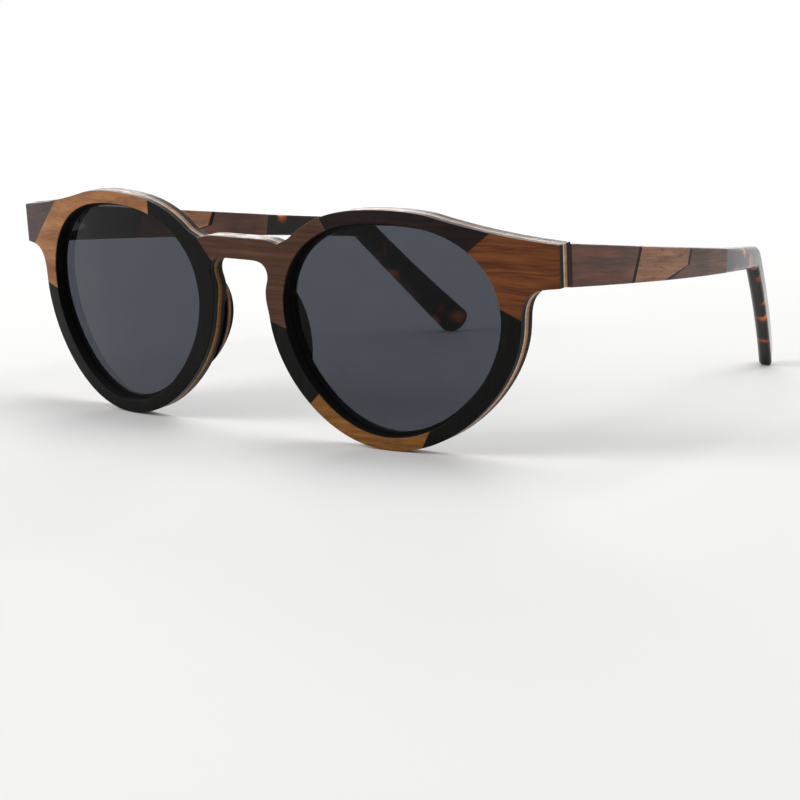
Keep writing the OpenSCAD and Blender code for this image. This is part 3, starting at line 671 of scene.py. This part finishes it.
def wood(name, main, band=1.4, run=22, dark=0.6, light=1.3, fibre=0.3, pores=0.3, wander=0.6, cloud=0.12,
         turn=(0, 0, 0), rough=0.46, gloss=0.14):
    """Sanded and oiled veneer: oiling darkens the pores and leaves a soft sheen along the grain.

    The bands of the grain, their run along it, its fibres and how far they wander are in mm.
    """

    def coat(tree, place):
        grain = add(tree, "ShaderNodeMapping", {"Vector": place, "Rotation": turn})
        sway = add(tree, "ShaderNodeTexNoise", {
            "Vector": grain, "Scale": 1 / (0.45 * run * MM), "Detail": 1.0})
        bent = add(tree, "ShaderNodeVectorMath", {
            0: sway, 1: (0, 0, 2 * wander * MM), 2: grain}, operation="MULTIPLY_ADD")

        def streaked(along, across, detail):
            scale = (1 / (along * MM), 1 / (along * MM), 1 / (across * MM))
            drawn = add(tree, "ShaderNodeVectorMath", {0: bent, 1: scale}, operation="MULTIPLY")
            return add(tree, "ShaderNodeTexNoise", {
                "Vector": drawn, "Scale": 1.0, "Detail": detail, "Roughness": 0.6})

        figure = add(tree, "ShaderNodeValToRGB", {"Fac": streaked(run, band, 3.0)}, [
            (0.33, shade(main, dark)), (0.44, shade(main, 0.4 + 0.6 * np.array(dark))),
            (0.54, main), (0.70, shade(main, light))])
        fibres = streaked(0.35 * run, fibre, 4.0)
        lines = add(tree, "ShaderNodeMapRange", {
            "Value": fibres, "From Min": 0.34, "From Max": 0.6, "To Min": 0.84, "To Max": 1.06})
        dashes = add(tree, "ShaderNodeMapRange", {
            "Value": streaked(0.14 * run, 1.2 * fibre, 1.0), "From Min": 0.58, "From Max": 0.72,
            "To Min": 1.0, "To Max": 1 - pores})
        patches = add(tree, "ShaderNodeTexNoise", {"Vector": grain, "Scale": 1 / (14 * MM), "Detail": 1.0})
        broad = add(tree, "ShaderNodeMapRange", {
            "Value": patches, "From Min": 0.35, "From Max": 0.65,
            "To Min": 1 - cloud, "To Max": 1 + cloud})
        for factor in (lines, dashes, broad):
            figure = add(tree, "ShaderNodeVectorMath", {0: figure, 1: factor}, operation="MULTIPLY")
        sheen = add(tree, "ShaderNodeMapRange", {
            "Value": fibres, "From Min": 0.3, "From Max": 0.7,
            "To Min": rough + 0.1, "To Max": rough - 0.06})
        relief = add(tree, "ShaderNodeBump", {"Height": fibres, "Strength": 0.22, "Distance": 0.03 * MM})
        return add(tree, "ShaderNodeBsdfPrincipled", {
            "Base Color": figure, "Roughness": sheen, "Normal": relief, "IOR": 1.5,
            "Specular IOR Level": gloss})

    return coated(name, main, coat)


def stained_edge(name, main):
    """Black stain brushed on the sawn edge: nearly no colour, a slight sheen and faint saw marks."""

    def coat(tree, place):
        marks = add(tree, "ShaderNodeTexNoise", {
            "Vector": place, "Scale": 1 / (0.4 * MM), "Detail": 3.0, "Roughness": 0.6})
        paint = add(tree, "ShaderNodeValToRGB", {"Fac": marks}, [
            (0.3, shade(main, 0.7)), (0.75, shade(main, 1.5))])
        sheen = add(tree, "ShaderNodeMapRange", {"Value": marks, "To Min": 0.3, "To Max": 0.5})
        relief = add(tree, "ShaderNodeBump", {"Height": marks, "Strength": 0.15, "Distance": 0.02 * MM})
        return add(tree, "ShaderNodeBsdfPrincipled", {
            "Base Color": paint, "Roughness": sheen, "Normal": relief, "IOR": 1.5,
            "Specular IOR Level": 0.15})

    return coated(name, main, coat)


def polished_acetate(name, ground, spot):
    """Tortoiseshell cellulose acetate, tumbled to a polish: amber spots in a near-black brown, partly their
    own amber and partly a painted glow of light through them, with some real glow from subsurface scatter.
    """

    def coat(tree, place):
        clouds = add(tree, "ShaderNodeTexNoise", {
            "Vector": place, "W": 2.4, "Scale": 1 / (4.2 * MM), "Detail": 0.4, "Roughness": 0.4},
            noise_dimensions="4D")
        flecks = add(tree, "ShaderNodeTexNoise", {
            "Vector": place, "Scale": 1 / (1.1 * MM), "Detail": 2.0, "Roughness": 0.5})
        # The brightest stops raise the amber into a painted glow of light shining through the spots
        shell = add(tree, "ShaderNodeValToRGB", {"Fac": clouds}, [
            (0.50, shade(ground, 0.9)), (0.60, shade(ground, 2)), (0.65, shade(spot, (0.3, 0.17, 0.12))),
            (0.71, shade(spot, (0.75, 0.6, 0.5))), (0.80, shade(spot, 1.3))])
        wear = add(tree, "ShaderNodeMapRange", {"Value": flecks, "To Min": 0.07, "To Max": 0.15})
        return add(tree, "ShaderNodeBsdfPrincipled", {
            "Base Color": shell, "Roughness": wear, "IOR": 1.48, "Specular IOR Level": 0.25,
            "Subsurface Weight": 0.4, "Subsurface Radius": (2.5 * MM, 0.9 * MM, 0.25 * MM),
            "Subsurface Scale": 1.0})

    return coated(name, ground, coat)


def tinted_lens(name, main):
    """Grey cast lens, polished, with a coat against glare: it dims evenly and mirrors the room faintly."""

    def coat(tree, place):
        haze = add(tree, "ShaderNodeTexNoise", {"Vector": place, "Scale": 1 / (9 * MM), "Detail": 2.0})
        tint = add(tree, "ShaderNodeValToRGB", {"Fac": haze}, [
            (0.3, shade(main, 0.97)), (0.7, shade(main, 1.03))])
        return add(tree, "ShaderNodeBsdfPrincipled", {
            "Base Color": tint, "Roughness": 0.0, "IOR": 1.2, "Specular IOR Level": 0.06,
            "Transmission Weight": 1.0})

    return coated(name, main, coat)


def brushed_steel(name, main):
    """Stainless steel, stamped and brushed: a grey metal with a soft streaked highlight."""

    def coat(tree, place):
        scale = (1 / (0.12 * MM), 1 / (0.12 * MM), 1 / (2.5 * MM))
        along = add(tree, "ShaderNodeVectorMath", {0: place, 1: scale}, operation="MULTIPLY")
        brush = add(tree, "ShaderNodeTexNoise", {
            "Vector": along, "Scale": 1.0, "Detail": 3.0, "Roughness": 0.6})
        grey = add(tree, "ShaderNodeValToRGB", {"Fac": brush}, [
            (0.3, shade(main, 0.82)), (0.7, shade(main, 1.05))])
        sheen = add(tree, "ShaderNodeMapRange", {"Value": brush, "To Min": 0.22, "To Max": 0.42})
        relief = add(tree, "ShaderNodeBump", {"Height": brush, "Strength": 0.12, "Distance": 0.01 * MM})
        return add(tree, "ShaderNodeBsdfPrincipled", {
            "Base Color": grey, "Roughness": sheen, "Normal": relief, "Metallic": 1.0})

    return coated(name, main, coat)


def matte_floor(name, main, fade_from, fade_to):
    """Matte white paper sweep: it takes the soft shadow and melts into the white behind it."""

    def coat(tree, place):
        tooth = add(tree, "ShaderNodeTexNoise", {"Vector": place, "Scale": 1 / (0.6 * MM), "Detail": 2.0})
        relief = add(tree, "ShaderNodeBump", {"Height": tooth, "Strength": 0.04, "Distance": 0.05 * MM})
        paper = add(tree, "ShaderNodeBsdfDiffuse", {"Color": (*main, 1), "Normal": relief})
        away = add(tree, "ShaderNodeVectorMath", {0: place}, out="Value", operation="LENGTH")
        fade = add(tree, "ShaderNodeMapRange", {
            "Value": away, "From Min": fade_from, "From Max": fade_to}, interpolation_type="SMOOTHSTEP")
        clear = add(tree, "ShaderNodeBsdfTransparent")
        return add(tree, "ShaderNodeMixShader", {"Fac": fade, 1: paper, 2: clear})

    return coated(name, main, coat)


# Material and grain of each wood, and what it gives the eye
WOODS = {
    # An even grey brown, nearly without figure
    "smoked_wood": ("Smoked_oak_oiled", dict(band=1.3, run=18, dark=0.85, light=1.15, pores=0.15)),
    # Warm tan with broad soft clouds
    "tan_walnut": ("Tan_walnut_oiled", dict(
        band=1.7, run=16, dark=(0.66, 0.62, 0.6), light=1.15, fibre=0.35, pores=0.25, cloud=0.26)),
    # Nearly black, with an upright grain that only just shows
    "ebony": ("Ebony_oiled", dict(
        band=1.1, run=16, dark=0.75, light=1.5, pores=0.2, turn=(0, math.radians(84), 0), gloss=0.08)),
    # Dark brown with fine straight lines
    "brown_walnut": ("Brown_walnut_oiled", dict(
        band=0.8, dark=(0.72, 0.66, 0.62), light=1.35, fibre=0.28, pores=0.2, wander=0.3)),
    # Black brown that turns red in its light streaks
    "red_brown_wood": ("Fumed_rosewood_oiled", dict(
        band=1.0, run=18, dark=0.55, light=(1.7, 1.35, 1.25), wander=0.4, cloud=0.25, gloss=0.1)),
    # Warm brown with close dark stripes
    "zebrano": ("Zebrano_oiled", dict(band=0.85, run=15, dark=(0.5, 0.42, 0.4), light=1.2, pores=0.15)),
    # Honey brown with a soft dark figure
    "olive_wood": ("Olive_wood_oiled", dict(band=1.0, run=14)),
    # Dyed right through, so that its cut edge is as black as its face
    "black_ply": ("Black_dyed_veneer_sanded", dict(
        band=0.9, run=18, dark=0.8, pores=0.15, rough=0.38, gloss=0.08)),
    # The same wood rubbed dull, which hardly mirrors the room, at half its colour: a painted shade
    "pad_black": ("Black_dyed_block_rubbed_matte", dict(
        band=0.9, run=18, dark=0.8, pores=0.15, rough=0.6, gloss=0.02)),
    # Pale cut edge that catches the light
    "cream_ply": ("Maple_veneer_edge", dict(band=0.6, run=9, dark=0.8, light=1.12, gloss=0.25)),
    # Warm cut edge beside the pale one
    "tan_ply": ("Cherry_veneer_edge", dict(band=0.6, run=9, dark=0.75, light=1.15, gloss=0.25)),
    # Painted shade: both edges beside the nose are darkened in colour to a deep gold where shade falls,
    # with less gloss
    "oiled_cream": ("Maple_veneer_edge_skin_oiled", dict(
        band=0.6, run=9, dark=0.8, light=1.15, gloss=0.06)),
    "oiled_tan": ("Cherry_veneer_edge_skin_oiled", dict(
        band=0.6, run=9, dark=0.8, light=1.15, gloss=0.06)),
    # Brown stripe between the black halves of each pad
    "pad_ply": ("Walnut_veneer_edge", dict(band=0.6, run=9, dark=0.75, light=1.15, gloss=0.06)),
    # Dull red brown with wide clouds
    "rosewood": ("Rosewood_oiled", dict(
        band=2.2, run=26, dark=(0.72, 0.8, 0.86), light=(1.6, 1.25, 1.15), fibre=0.35, pores=0.2,
        wander=0.4, cloud=0.3, rough=0.42, gloss=0.2)),
    # Pale brown with open, dark pores
    "pale_walnut": ("Pale_walnut_rough_sawn_oiled", dict(
        band=1.2, dark=0.72, fibre=0.5, pores=0.5, rough=0.44, gloss=0.18)),
}

# Wood of each face veneer
INLAY_WOODS = {
    "inlay_left_end": "smoked_wood",
    "inlay_left_brow": "tan_walnut",
    "inlay_left_rim": "ebony",
    "inlay_bridge": "brown_walnut",
    "inlay_right_brow": "red_brown_wood",
    "inlay_right_end": "zebrano",
    "inlay_right_cheek": "ebony",
    "inlay_right_foot": "olive_wood",
    "inlay_right_nose": "ebony",
}


def veneer(key, base=None, tint=1, **turned):
    """A wood in its own colour, or in a tint of another one."""
    name, grain = WOODS[key]
    return wood(name, shade(tone(base or key), tint), **grain, **turned)


def stain():
    return stained_edge("Black_stain_brushed_edge", tone("stain"))


def front_loops(shape):
    hole = shape.opening()
    return [shape.outline(OUTLINE_GAP), hole, hole[::-1] * [-1, 1]]


def rounded(radius, depth, into):
    """Rails of a quarter round from a face at a depth into the wall, or from the wall out to the face."""
    rails = []
    for a in np.linspace(0, math.pi / 2, ROUND_STEPS + 1):
        low, high = radius * (1 - math.sin(a)), radius * (1 - math.cos(a))
        rails.append((low, depth + high, 0) if into else (high, depth - low, 0))
    return rails


def inlay_regions(shape):
    """Polygons on the face, one for each veneer, mirrored where the veneer is on the left."""
    s = front_props()
    far, reach = shape.rim_h / 2, s.rim_side
    hub = np.array([shape.lens_x, 0])

    def seam(name, out):
        place, lean = (math.radians(a) for a in SEAMS[name])
        middle = (shape.polar(s.aperture_width, s.aperture_height, place)
                  + shape.polar(shape.rim_w, shape.rim_h, place)) / 2
        return hub + middle * heading(place) + out * heading(place + lean)

    def across(name, outer=reach):
        return [seam(name, -reach), seam(name, outer)]

    def back(name, outer=reach):
        return across(name, outer)[::-1]

    def arc(start, end, radius):
        return [hub + radius * heading(t) for t in np.radians(np.linspace(start, end, 7))]

    def end_cut(out):
        return np.array([shape.end_x - s.seam_left_end, s.end_level]) + out * heading(s.slope_left_end)

    def bridge_cut(out):
        start = np.array([0.9 * shape.keyhole_half, 0.91 * shape.bridge_under])
        return start + out * heading(s.slope_left_bridge) * [-1, 1]

    bridge = [bridge_cut(2 * reach) + [0, far], bridge_cut(2 * reach), bridge_cut(-0.6 * reach)]
    bridge_left = [p * [-1, 1] for p in bridge[::-1]]
    wide = shape.end_x + far
    nose, cheek = 0.97 * shape.lens_x, 0.88 * shape.lens_x
    left_cheek = across("left_cheek", 0.77 * reach)
    regions = {
        "inlay_left_end": [end_cut(-far), end_cut(far), (wide, end_cut(far)[1]), (wide, end_cut(-far)[1])],
        "inlay_left_brow": [hub, *left_cheek, end_cut(far), end_cut(-far), *back("left_brow", far)],
        "inlay_left_rim": [hub, *across("left_brow", far), *bridge, *arc(190, 350, nose),
                           *left_cheek[::-1]],
        "inlay_bridge": [*bridge_left, seam("right_brow", far), *back("right_brow"), hub,
                         *across("right_bridge")],
        "inlay_right_brow": [hub, *across("right_end", far), seam("right_brow", far), *back("right_brow")],
        "inlay_right_end": [hub, *across("right_cheek"), (wide, seam("right_cheek", reach)[1]),
                            (wide, 2 * far), *back("right_end", far)],
        "inlay_right_cheek": [hub, *across("right_foot"), *arc(-84, -10, cheek), *back("right_cheek")],
        "inlay_right_foot": [hub, *across("right_nose"), *arc(-140, -95, nose), *back("right_foot")],
        "inlay_right_nose": [hub, *across("right_bridge"), *arc(-178, -140, nose), *back("right_nose")],
    }
    return {name: np.array([tuple(p) for p in region]) * ([-1, 1] if "_left_" in name else [1, 1])
            for name, region in regions.items()}


class SUNGLASSES_OT_face(bpy.types.Operator):
    """Inlays the face with its nine veneers."""

    bl_idname = "sunglasses.face"
    bl_label = "Inlaid face"

    def execute(self, context):
        shape = front_shape()
        rim = rounded(front_props().edge_round, 0, True)
        rim[-1] = (*rim[-1][:2], WALL)
        rim.append((0, shape.d_front, 0))
        face = plate("face", shape, front_loops(shape), [rim, rim, rim])
        for name, region in inlay_regions(shape).items():
            slot = INLAY_WOODS[name]
            piece = carve(copy_of(face, name), prism(region, "Y", *FACE_CUT))
            settle(piece, "front", [name], slot, [veneer(slot), stain()])
        bpy.data.objects.remove(face)
        return {"FINISHED"}


class SUNGLASSES_OT_plies(bpy.types.Operator):
    """Stacks the black and light plies behind the face."""

    bl_idname = "sunglasses.plies"
    bl_label = "Laminate plies"

    def execute(self, context):
        shape, s = front_shape(), front_props()
        loops = front_loops(shape)
        black = [veneer("black_ply"), stain()]
        warm_stain = stained_edge("Black_stain_on_light_ply", shade(tone("stain"), 2.2))
        # The cream and tan plies also get copies darkened by painted shade for the walls beside the nose
        cream = [veneer("cream_ply"), warm_stain, veneer("oiled_cream", "cream_ply", NOSE_WALL_PAINTED_SHADE)]
        glue = [stained_edge("Dark_glue_line", shade(tone("tan_ply"), 0.22)), stain()]
        tan = [veneer("tan_ply"), stain(), veneer("oiled_tan", "tan_ply", NOSE_WALL_PAINTED_SHADE)]
        d_glue = shape.d_mid + s.cream_share
        d_tan = d_glue + s.glue_line
        for name, front, back, node, slot, finish in (
                ("front_ply", shape.d_front, shape.d_mid, "front_ply", "black_ply", black),
                ("mid_ply_cream", shape.d_mid, d_glue, "mid_ply", "light_ply", cream),
                ("mid_ply_glue", d_glue, d_tan, "mid_ply", "light_ply", glue),
                ("mid_ply_tan", d_tan, shape.d_rear, "mid_ply", "light_ply", tan)):
            outer, hole = ([(0, front, mark), (0, back, mark)] for mark in (0, WALL))
            piece = plate(name, shape, loops, [outer, hole, hole])
            # Walls beside the nose take the copy darkened by painted shade
            if len(finish) > NOSE_SHADE_SLOT:
                self.oil(piece, shape)
            settle(piece, "front", [node], slot, finish)
        soft = rounded(s.edge_round, shape.d_back, False)
        outer = [(0, shape.d_rear, 0)] + soft
        hole = [(-s.groove_depth, shape.d_rear, WALL), (-s.groove_depth, shape.d_groove, WALL),
                (0, shape.d_groove, WALL)] + soft
        rear = plate("rear_ply", shape, loops, [outer, hole, hole])
        settle(rear, "front", ["rear_ply"], "black_ply", black)
        return {"FINISHED"}

    def oil(self, piece, shape):
        """Gives the outer walls beside the nose their darker finish, a painted shade."""
        for face in piece.data.polygons:
            beside = abs(face.center.x) < shape.lens_x and face.center.z < shape.bridge_under
            if face.material_index == 0 and abs(face.normal.y) < 0.5 and beside:
                face.material_index = NOSE_SHADE_SLOT


class SUNGLASSES_OT_lenses(bpy.types.Operator):
    """Sets a tinted lens in each groove."""

    bl_idname = "sunglasses.lenses"
    bl_label = "Lenses"

    def execute(self, context):
        shape, s = front_shape(), front_props()
        loop = shape.opening(s.groove_depth - LENS_PLAY)[::-1]
        front, back = shape.d_rear + LENS_CLEAR, shape.d_groove - LENS_CLEAR
        rails = [(LENS_BEVEL, front, 0), (0, front + LENS_BEVEL, 0),
                 (0, back - LENS_BEVEL, 0), (LENS_BEVEL, back, 0)]
        grey = tinted_lens("Grey_tinted_lens_polished", tone("lens"))
        for node, piece in pair(plate("right_lens", shape, [loop], [rails]), "lens"):
            settle(piece, "front", [node], "grey_lens", [grey])
        return {"FINISHED"}


class SUNGLASSES_OT_pads(bpy.types.Operator):
    """Builds up the nose pads from a body, a light ply and a cap, sanded to a bowed back."""

    bl_idname = "sunglasses.pads"
    bl_label = "Nose pads"

    def execute(self, context):
        shape, p = front_shape(), context.scene.sunglasses_pads
        levels = np.sin(np.radians(np.linspace(-PAD_TURN, PAD_TURN, PAD_RINGS)))
        block = loft("pad", [self.section(shape, p, u) for u in levels])
        d_cap = shape.d_back + p.depth - p.cap
        d_ply = d_cap - p.ply
        # The pads' black is the ply's black at half its colour, a painted shade
        black = veneer("pad_black", "black_ply", 0.5)
        wide, tall = front_props().bridge_gap, 2 * p.height
        slab = [(0, -tall), (wide, -tall), (wide, tall), (0, tall)]
        for name, front, back, slot, finish in (
                ("pad_body", 0, d_ply, "black_ply", black),
                ("pad_ply", d_ply, d_cap, "light_ply", veneer("pad_ply")),
                ("pad_cap", d_cap, d_cap + p.depth, "black_ply", black)):
            right = carve(copy_of(block, "right_" + name), prism(slab, "Y", front, back))
            for node, piece in pair(right, name):
                settle(piece, "front", [node], slot, [finish])
        bpy.data.objects.remove(block)
        return {"FINISHED"}

    def section(self, shape, p, u):
        """Level section of the right pad at u of its half height, from the lens side round its back."""
        middle = front_props().bridge_gap / 2 - p.inset + p.curve * u ** 2 - p.tilt * u
        half = p.width / 2 * math.sqrt(1 - u ** 2) + p.end
        deep = p.depth * (1 - u ** 2) ** p.bow
        r = min(p.edge_round, 0.9 * half, 0.9 * deep)
        flat = [(half, -PAD_SINK)]
        for side, turn in ((1, 0), (-1, 90)):
            for a in quarter(turn):
                flat.append((side * (half - r) + r * math.cos(a), deep - r + r * math.sin(a)))
        flat.append((-half, -PAD_SINK))
        level = p.level + u * p.height / 2
        return [(middle + x + y * math.tan(p.lean), shape.d_back + y, level) for x, y in flat]


class SUNGLASSES_OT_temples(bpy.types.Operator):
    """Shapes the temples: three lengths of wood and a polished tip on each side."""

    bl_idname = "sunglasses.temples"
    bl_label = "Temples"

    def execute(self, context):
        temple, s = temple_shape(), context.scene.sunglasses_temples
        arm = loft("arm", [temple.section(*station, s.wood_round) for station in temple.wood_stations()])
        self.square_end(arm, temple, s)
        lie = (s.fall - standing().to_euler().x, 0, 0)
        woods = {"temple_root": "rosewood", "temple_middle": "pale_walnut", "temple_rear": "rosewood"}
        for side, shift in (("right", 0), ("left", s.left_seam_shift)):
            for name, region in self.regions(temple, s, shift).items():
                piece = carve(copy_of(arm, f"{side}_{name}"), prism(region, "X", 0, SPAN))
                if side == "left":
                    flip(piece)
                node = name.removesuffix("_line")
                finish = veneer(woods[name], turn=lie) if name in woods else veneer("black_ply")
                settle(piece, side + "_temple", [f"{side}_{node}"], woods[node], [finish])
        bpy.data.objects.remove(arm)

        rings = []
        for station in temple.tip_stations():
            grown = min(1, (station[0][0] - temple.splice_y) / ROUND_RUN)
            radius = s.wood_round + max(0, grown) * (s.tip_round - s.wood_round)
            rings.append(temple.section(*station, radius))
        acetate = polished_acetate("Tortoiseshell_acetate_polished", tone("acetate"), tone("acetate_spot"))
        for node, piece in pair(loft("right_temple_tip", rings), "temple_tip"):
            settle(piece, node.removesuffix("_tip"), [node], "tortoiseshell_acetate", [acetate])
        return {"FINISHED"}

    def square_end(self, arm, temple, s):
        """Cuts the arm's front end along the back of the front, at the butt gap."""
        front = temple.front
        x = float(temple.outer_x(temple.y0) + temple.inner_x(temple.y0)) / 2
        slope = math.asin((x - front.flat_half) / (front.s.wrap_radius - front.d_back))
        butt = Vector((x, float(front.depth(x, front.d_back + s.butt_gap)), 0))
        saw = bmesh.new()
        saw.from_mesh(arm.data)
        cut = bmesh.ops.bisect_plane(
            saw, geom=saw.verts[:] + saw.edges[:] + saw.faces[:], plane_co=butt,
            plane_no=(math.sin(slope), -math.cos(slope), 0), clear_outer=True)
        rim = [e for e in cut["geom_cut"] if isinstance(e, bmesh.types.BMEdge)]
        bmesh.ops.contextual_create(saw, geom=rim)
        bmesh.ops.recalc_face_normals(saw, faces=saw.faces)
        saw.to_mesh(arm.data)
        saw.free()

    def regions(self, temple, s, shift):
        """Side view of each length of wood and each seam line, with the seams further back by shift."""
        seam1_y, seam2_y = temple.y0 + s.seam_front + shift, temple.y0 + s.seam_rear + shift
        lean = SPAN * np.array([s.seam_slant, 1])
        seam1 = np.array([seam1_y, temple.line_z(seam1_y)])
        kink = np.array([seam2_y, temple.line_z(seam2_y) - s.kink_drop])
        kink_end = kink - s.seam_front * np.array([1, math.tan(s.kink_slope)])
        strip = np.array([s.seam_line / 2, 0])
        under = np.array([0, s.seam_line / math.cos(s.kink_slope)])
        top, foot, top2 = seam1 + lean, seam1 - lean, kink + lean
        end = temple.splice_y + SPAN
        return {
            "temple_root": [(-SPAN, SPAN), (-SPAN, -SPAN), foot - strip, top - strip],
            "temple_root_line": [foot - strip, foot + strip, top + strip, top - strip],
            "temple_middle": [top + strip, foot + strip, kink_end, kink - strip, top2 - strip],
            "temple_middle_line": [kink - strip, kink_end, kink_end - under, kink + strip, top2 + strip,
                                   top2 - strip],
            "temple_rear": [top2 + strip, kink + strip, kink_end - under, kink_end - [0, SPAN],
                            (end, -SPAN), (end, SPAN)],
        }


class SUNGLASSES_OT_hinges(bpy.types.Operator):
    """Finishes the hinge leaves, pins and screws."""

    bl_idname = "sunglasses.hinges"
    bl_label = "Hinges"

    def execute(self, context):
        leaf = brushed_steel("Stainless_steel_brushed", tone("steel"))
        turned = brushed_steel("Stainless_steel_turned", shade(tone("steel"), 0.42))
        for name, node in frame["nodes"].items():
            if "leaf" in name or "pin" in name:
                node.data.materials.clear()
                node.data.materials.append(leaf if name.endswith("leaf") else turned)
                weld = node.modifiers.new("weld", "WELD")
                weld.merge_threshold = 0.002 * MM
                soften = node.modifiers.new("tumbled_edges", "BEVEL")
                soften.width = context.scene.sunglasses_hinges.edge_round
                soften.segments = 2
                soften.limit_method = "ANGLE"
                soften.angle_limit = math.radians(50)
        return {"FINISHED"}


class SUNGLASSES_OT_stage(bpy.types.Operator):
    """Sets the floor, the light and the camera."""

    bl_idname = "sunglasses.stage"
    bl_label = "Stage"

    def execute(self, context):
        stage, scene = context.scene.sunglasses_stage, context.scene
        half = FLOOR_HALF
        corners = [(-half, -half, 0), (half, -half, 0), (half, half, 0), (-half, half, 0)]
        floor = mesh_object("floor", corners, [(0, 1, 2, 3)])
        paper = matte_floor("White_paper_matte", list(stage.floor_colour), *FLOOR_FADE)
        floor.data.materials.append(paper)

        level = math.cos(stage.elevation)
        back = Vector((math.sin(stage.azimuth) * level, -math.cos(stage.azimuth) * level,
                       math.sin(stage.elevation)))
        camera = bpy.data.objects.new("camera", bpy.data.cameras.new("camera"))
        turn = (-back).to_track_quat("-Z", "Y").to_matrix().to_4x4()
        roll = Matrix.Rotation(stage.roll, 4, "Z")
        place = Matrix.Translation(Vector(stage.target) + back * stage.distance)
        camera.matrix_world = standing() @ place @ turn @ roll
        camera.data.sensor_width = SENSOR_MM
        camera.data.lens = stage.focal
        camera.data.clip_start = 10 * MM
        scene.collection.objects.link(camera)
        scene.camera = camera

        for name, place, aim, wide, tall, watts in LAMPS:
            lamp = bpy.data.lights.new(name, "AREA")
            lamp.shape = "RECTANGLE"
            lamp.size, lamp.size_y, lamp.energy = wide, tall, watts
            holder = bpy.data.objects.new(name, lamp)
            holder.location = place
            holder.rotation_mode = "QUATERNION"
            holder.rotation_quaternion = (Vector(aim) - Vector(place)).to_track_quat("-Z", "Y")
            scene.collection.objects.link(holder)

        # The camera, the lenses and the gloss see a white room, which lights the rest more softly
        world = bpy.data.worlds.new("studio")
        world.use_nodes = True
        tree = world.node_tree
        tree.nodes.clear()
        rays = add(tree, "ShaderNodeLightPath").node.outputs
        seen = rays["Is Camera Ray"]
        for ray in ("Is Transmission Ray", "Is Glossy Ray"):
            seen = add(tree, "ShaderNodeMath", {0: seen, 1: rays[ray]}, operation="MAXIMUM")
        ambient, white = (add(tree, "ShaderNodeBackground", {"Color": (1, 1, 1, 1), "Strength": strength})
                          for strength in (AMBIENT, 1.0))
        room = add(tree, "ShaderNodeMixShader", {"Fac": seen, 1: ambient, 2: white})
        add(tree, "ShaderNodeOutputWorld", {"Surface": room})
        scene.world = world
        scene.view_settings.view_transform = "Standard"
        return {"FINISHED"}


OPERATORS = (
    SUNGLASSES_OT_face,
    SUNGLASSES_OT_plies,
    SUNGLASSES_OT_lenses,
    SUNGLASSES_OT_pads,
    SUNGLASSES_OT_temples,
    SUNGLASSES_OT_hinges,
    SUNGLASSES_OT_stage,
)


class SUNGLASSES_PT_panel(bpy.types.Panel):
    """Lists the steps that build the sunglasses."""

    bl_idname = "SUNGLASSES_PT_panel"
    bl_label = "Sunglasses"
    bl_space_type = "VIEW_3D"
    bl_region_type = "UI"
    bl_category = "Sunglasses"

    def draw(self, context):
        for operator in OPERATORS:
            self.layout.operator(operator.bl_idname)


GROUPS = {
    "sunglasses_front": SunglassesFront,
    "sunglasses_pads": SunglassesPads,
    "sunglasses_temples": SunglassesTemples,
    "sunglasses_hinges": SunglassesHinges,
    "sunglasses_colours": SunglassesColours,
    "sunglasses_stage": SunglassesStage,
}
CLASSES = (*GROUPS.values(), *OPERATORS, SUNGLASSES_PT_panel)


def register():
    for each in CLASSES:
        bpy.utils.register_class(each)
    for name, group in GROUPS.items():
        setattr(bpy.types.Scene, name, PointerProperty(type=group))


def unregister():
    for name in GROUPS:
        delattr(bpy.types.Scene, name)
    for each in reversed(CLASSES):
        bpy.utils.unregister_class(each)


def main():
    register()
    for operator in OPERATORS:
        group, name = operator.bl_idname.split(".")
        getattr(getattr(bpy.ops, group), name)()
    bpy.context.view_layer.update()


if __name__ == "__main__":
    main()
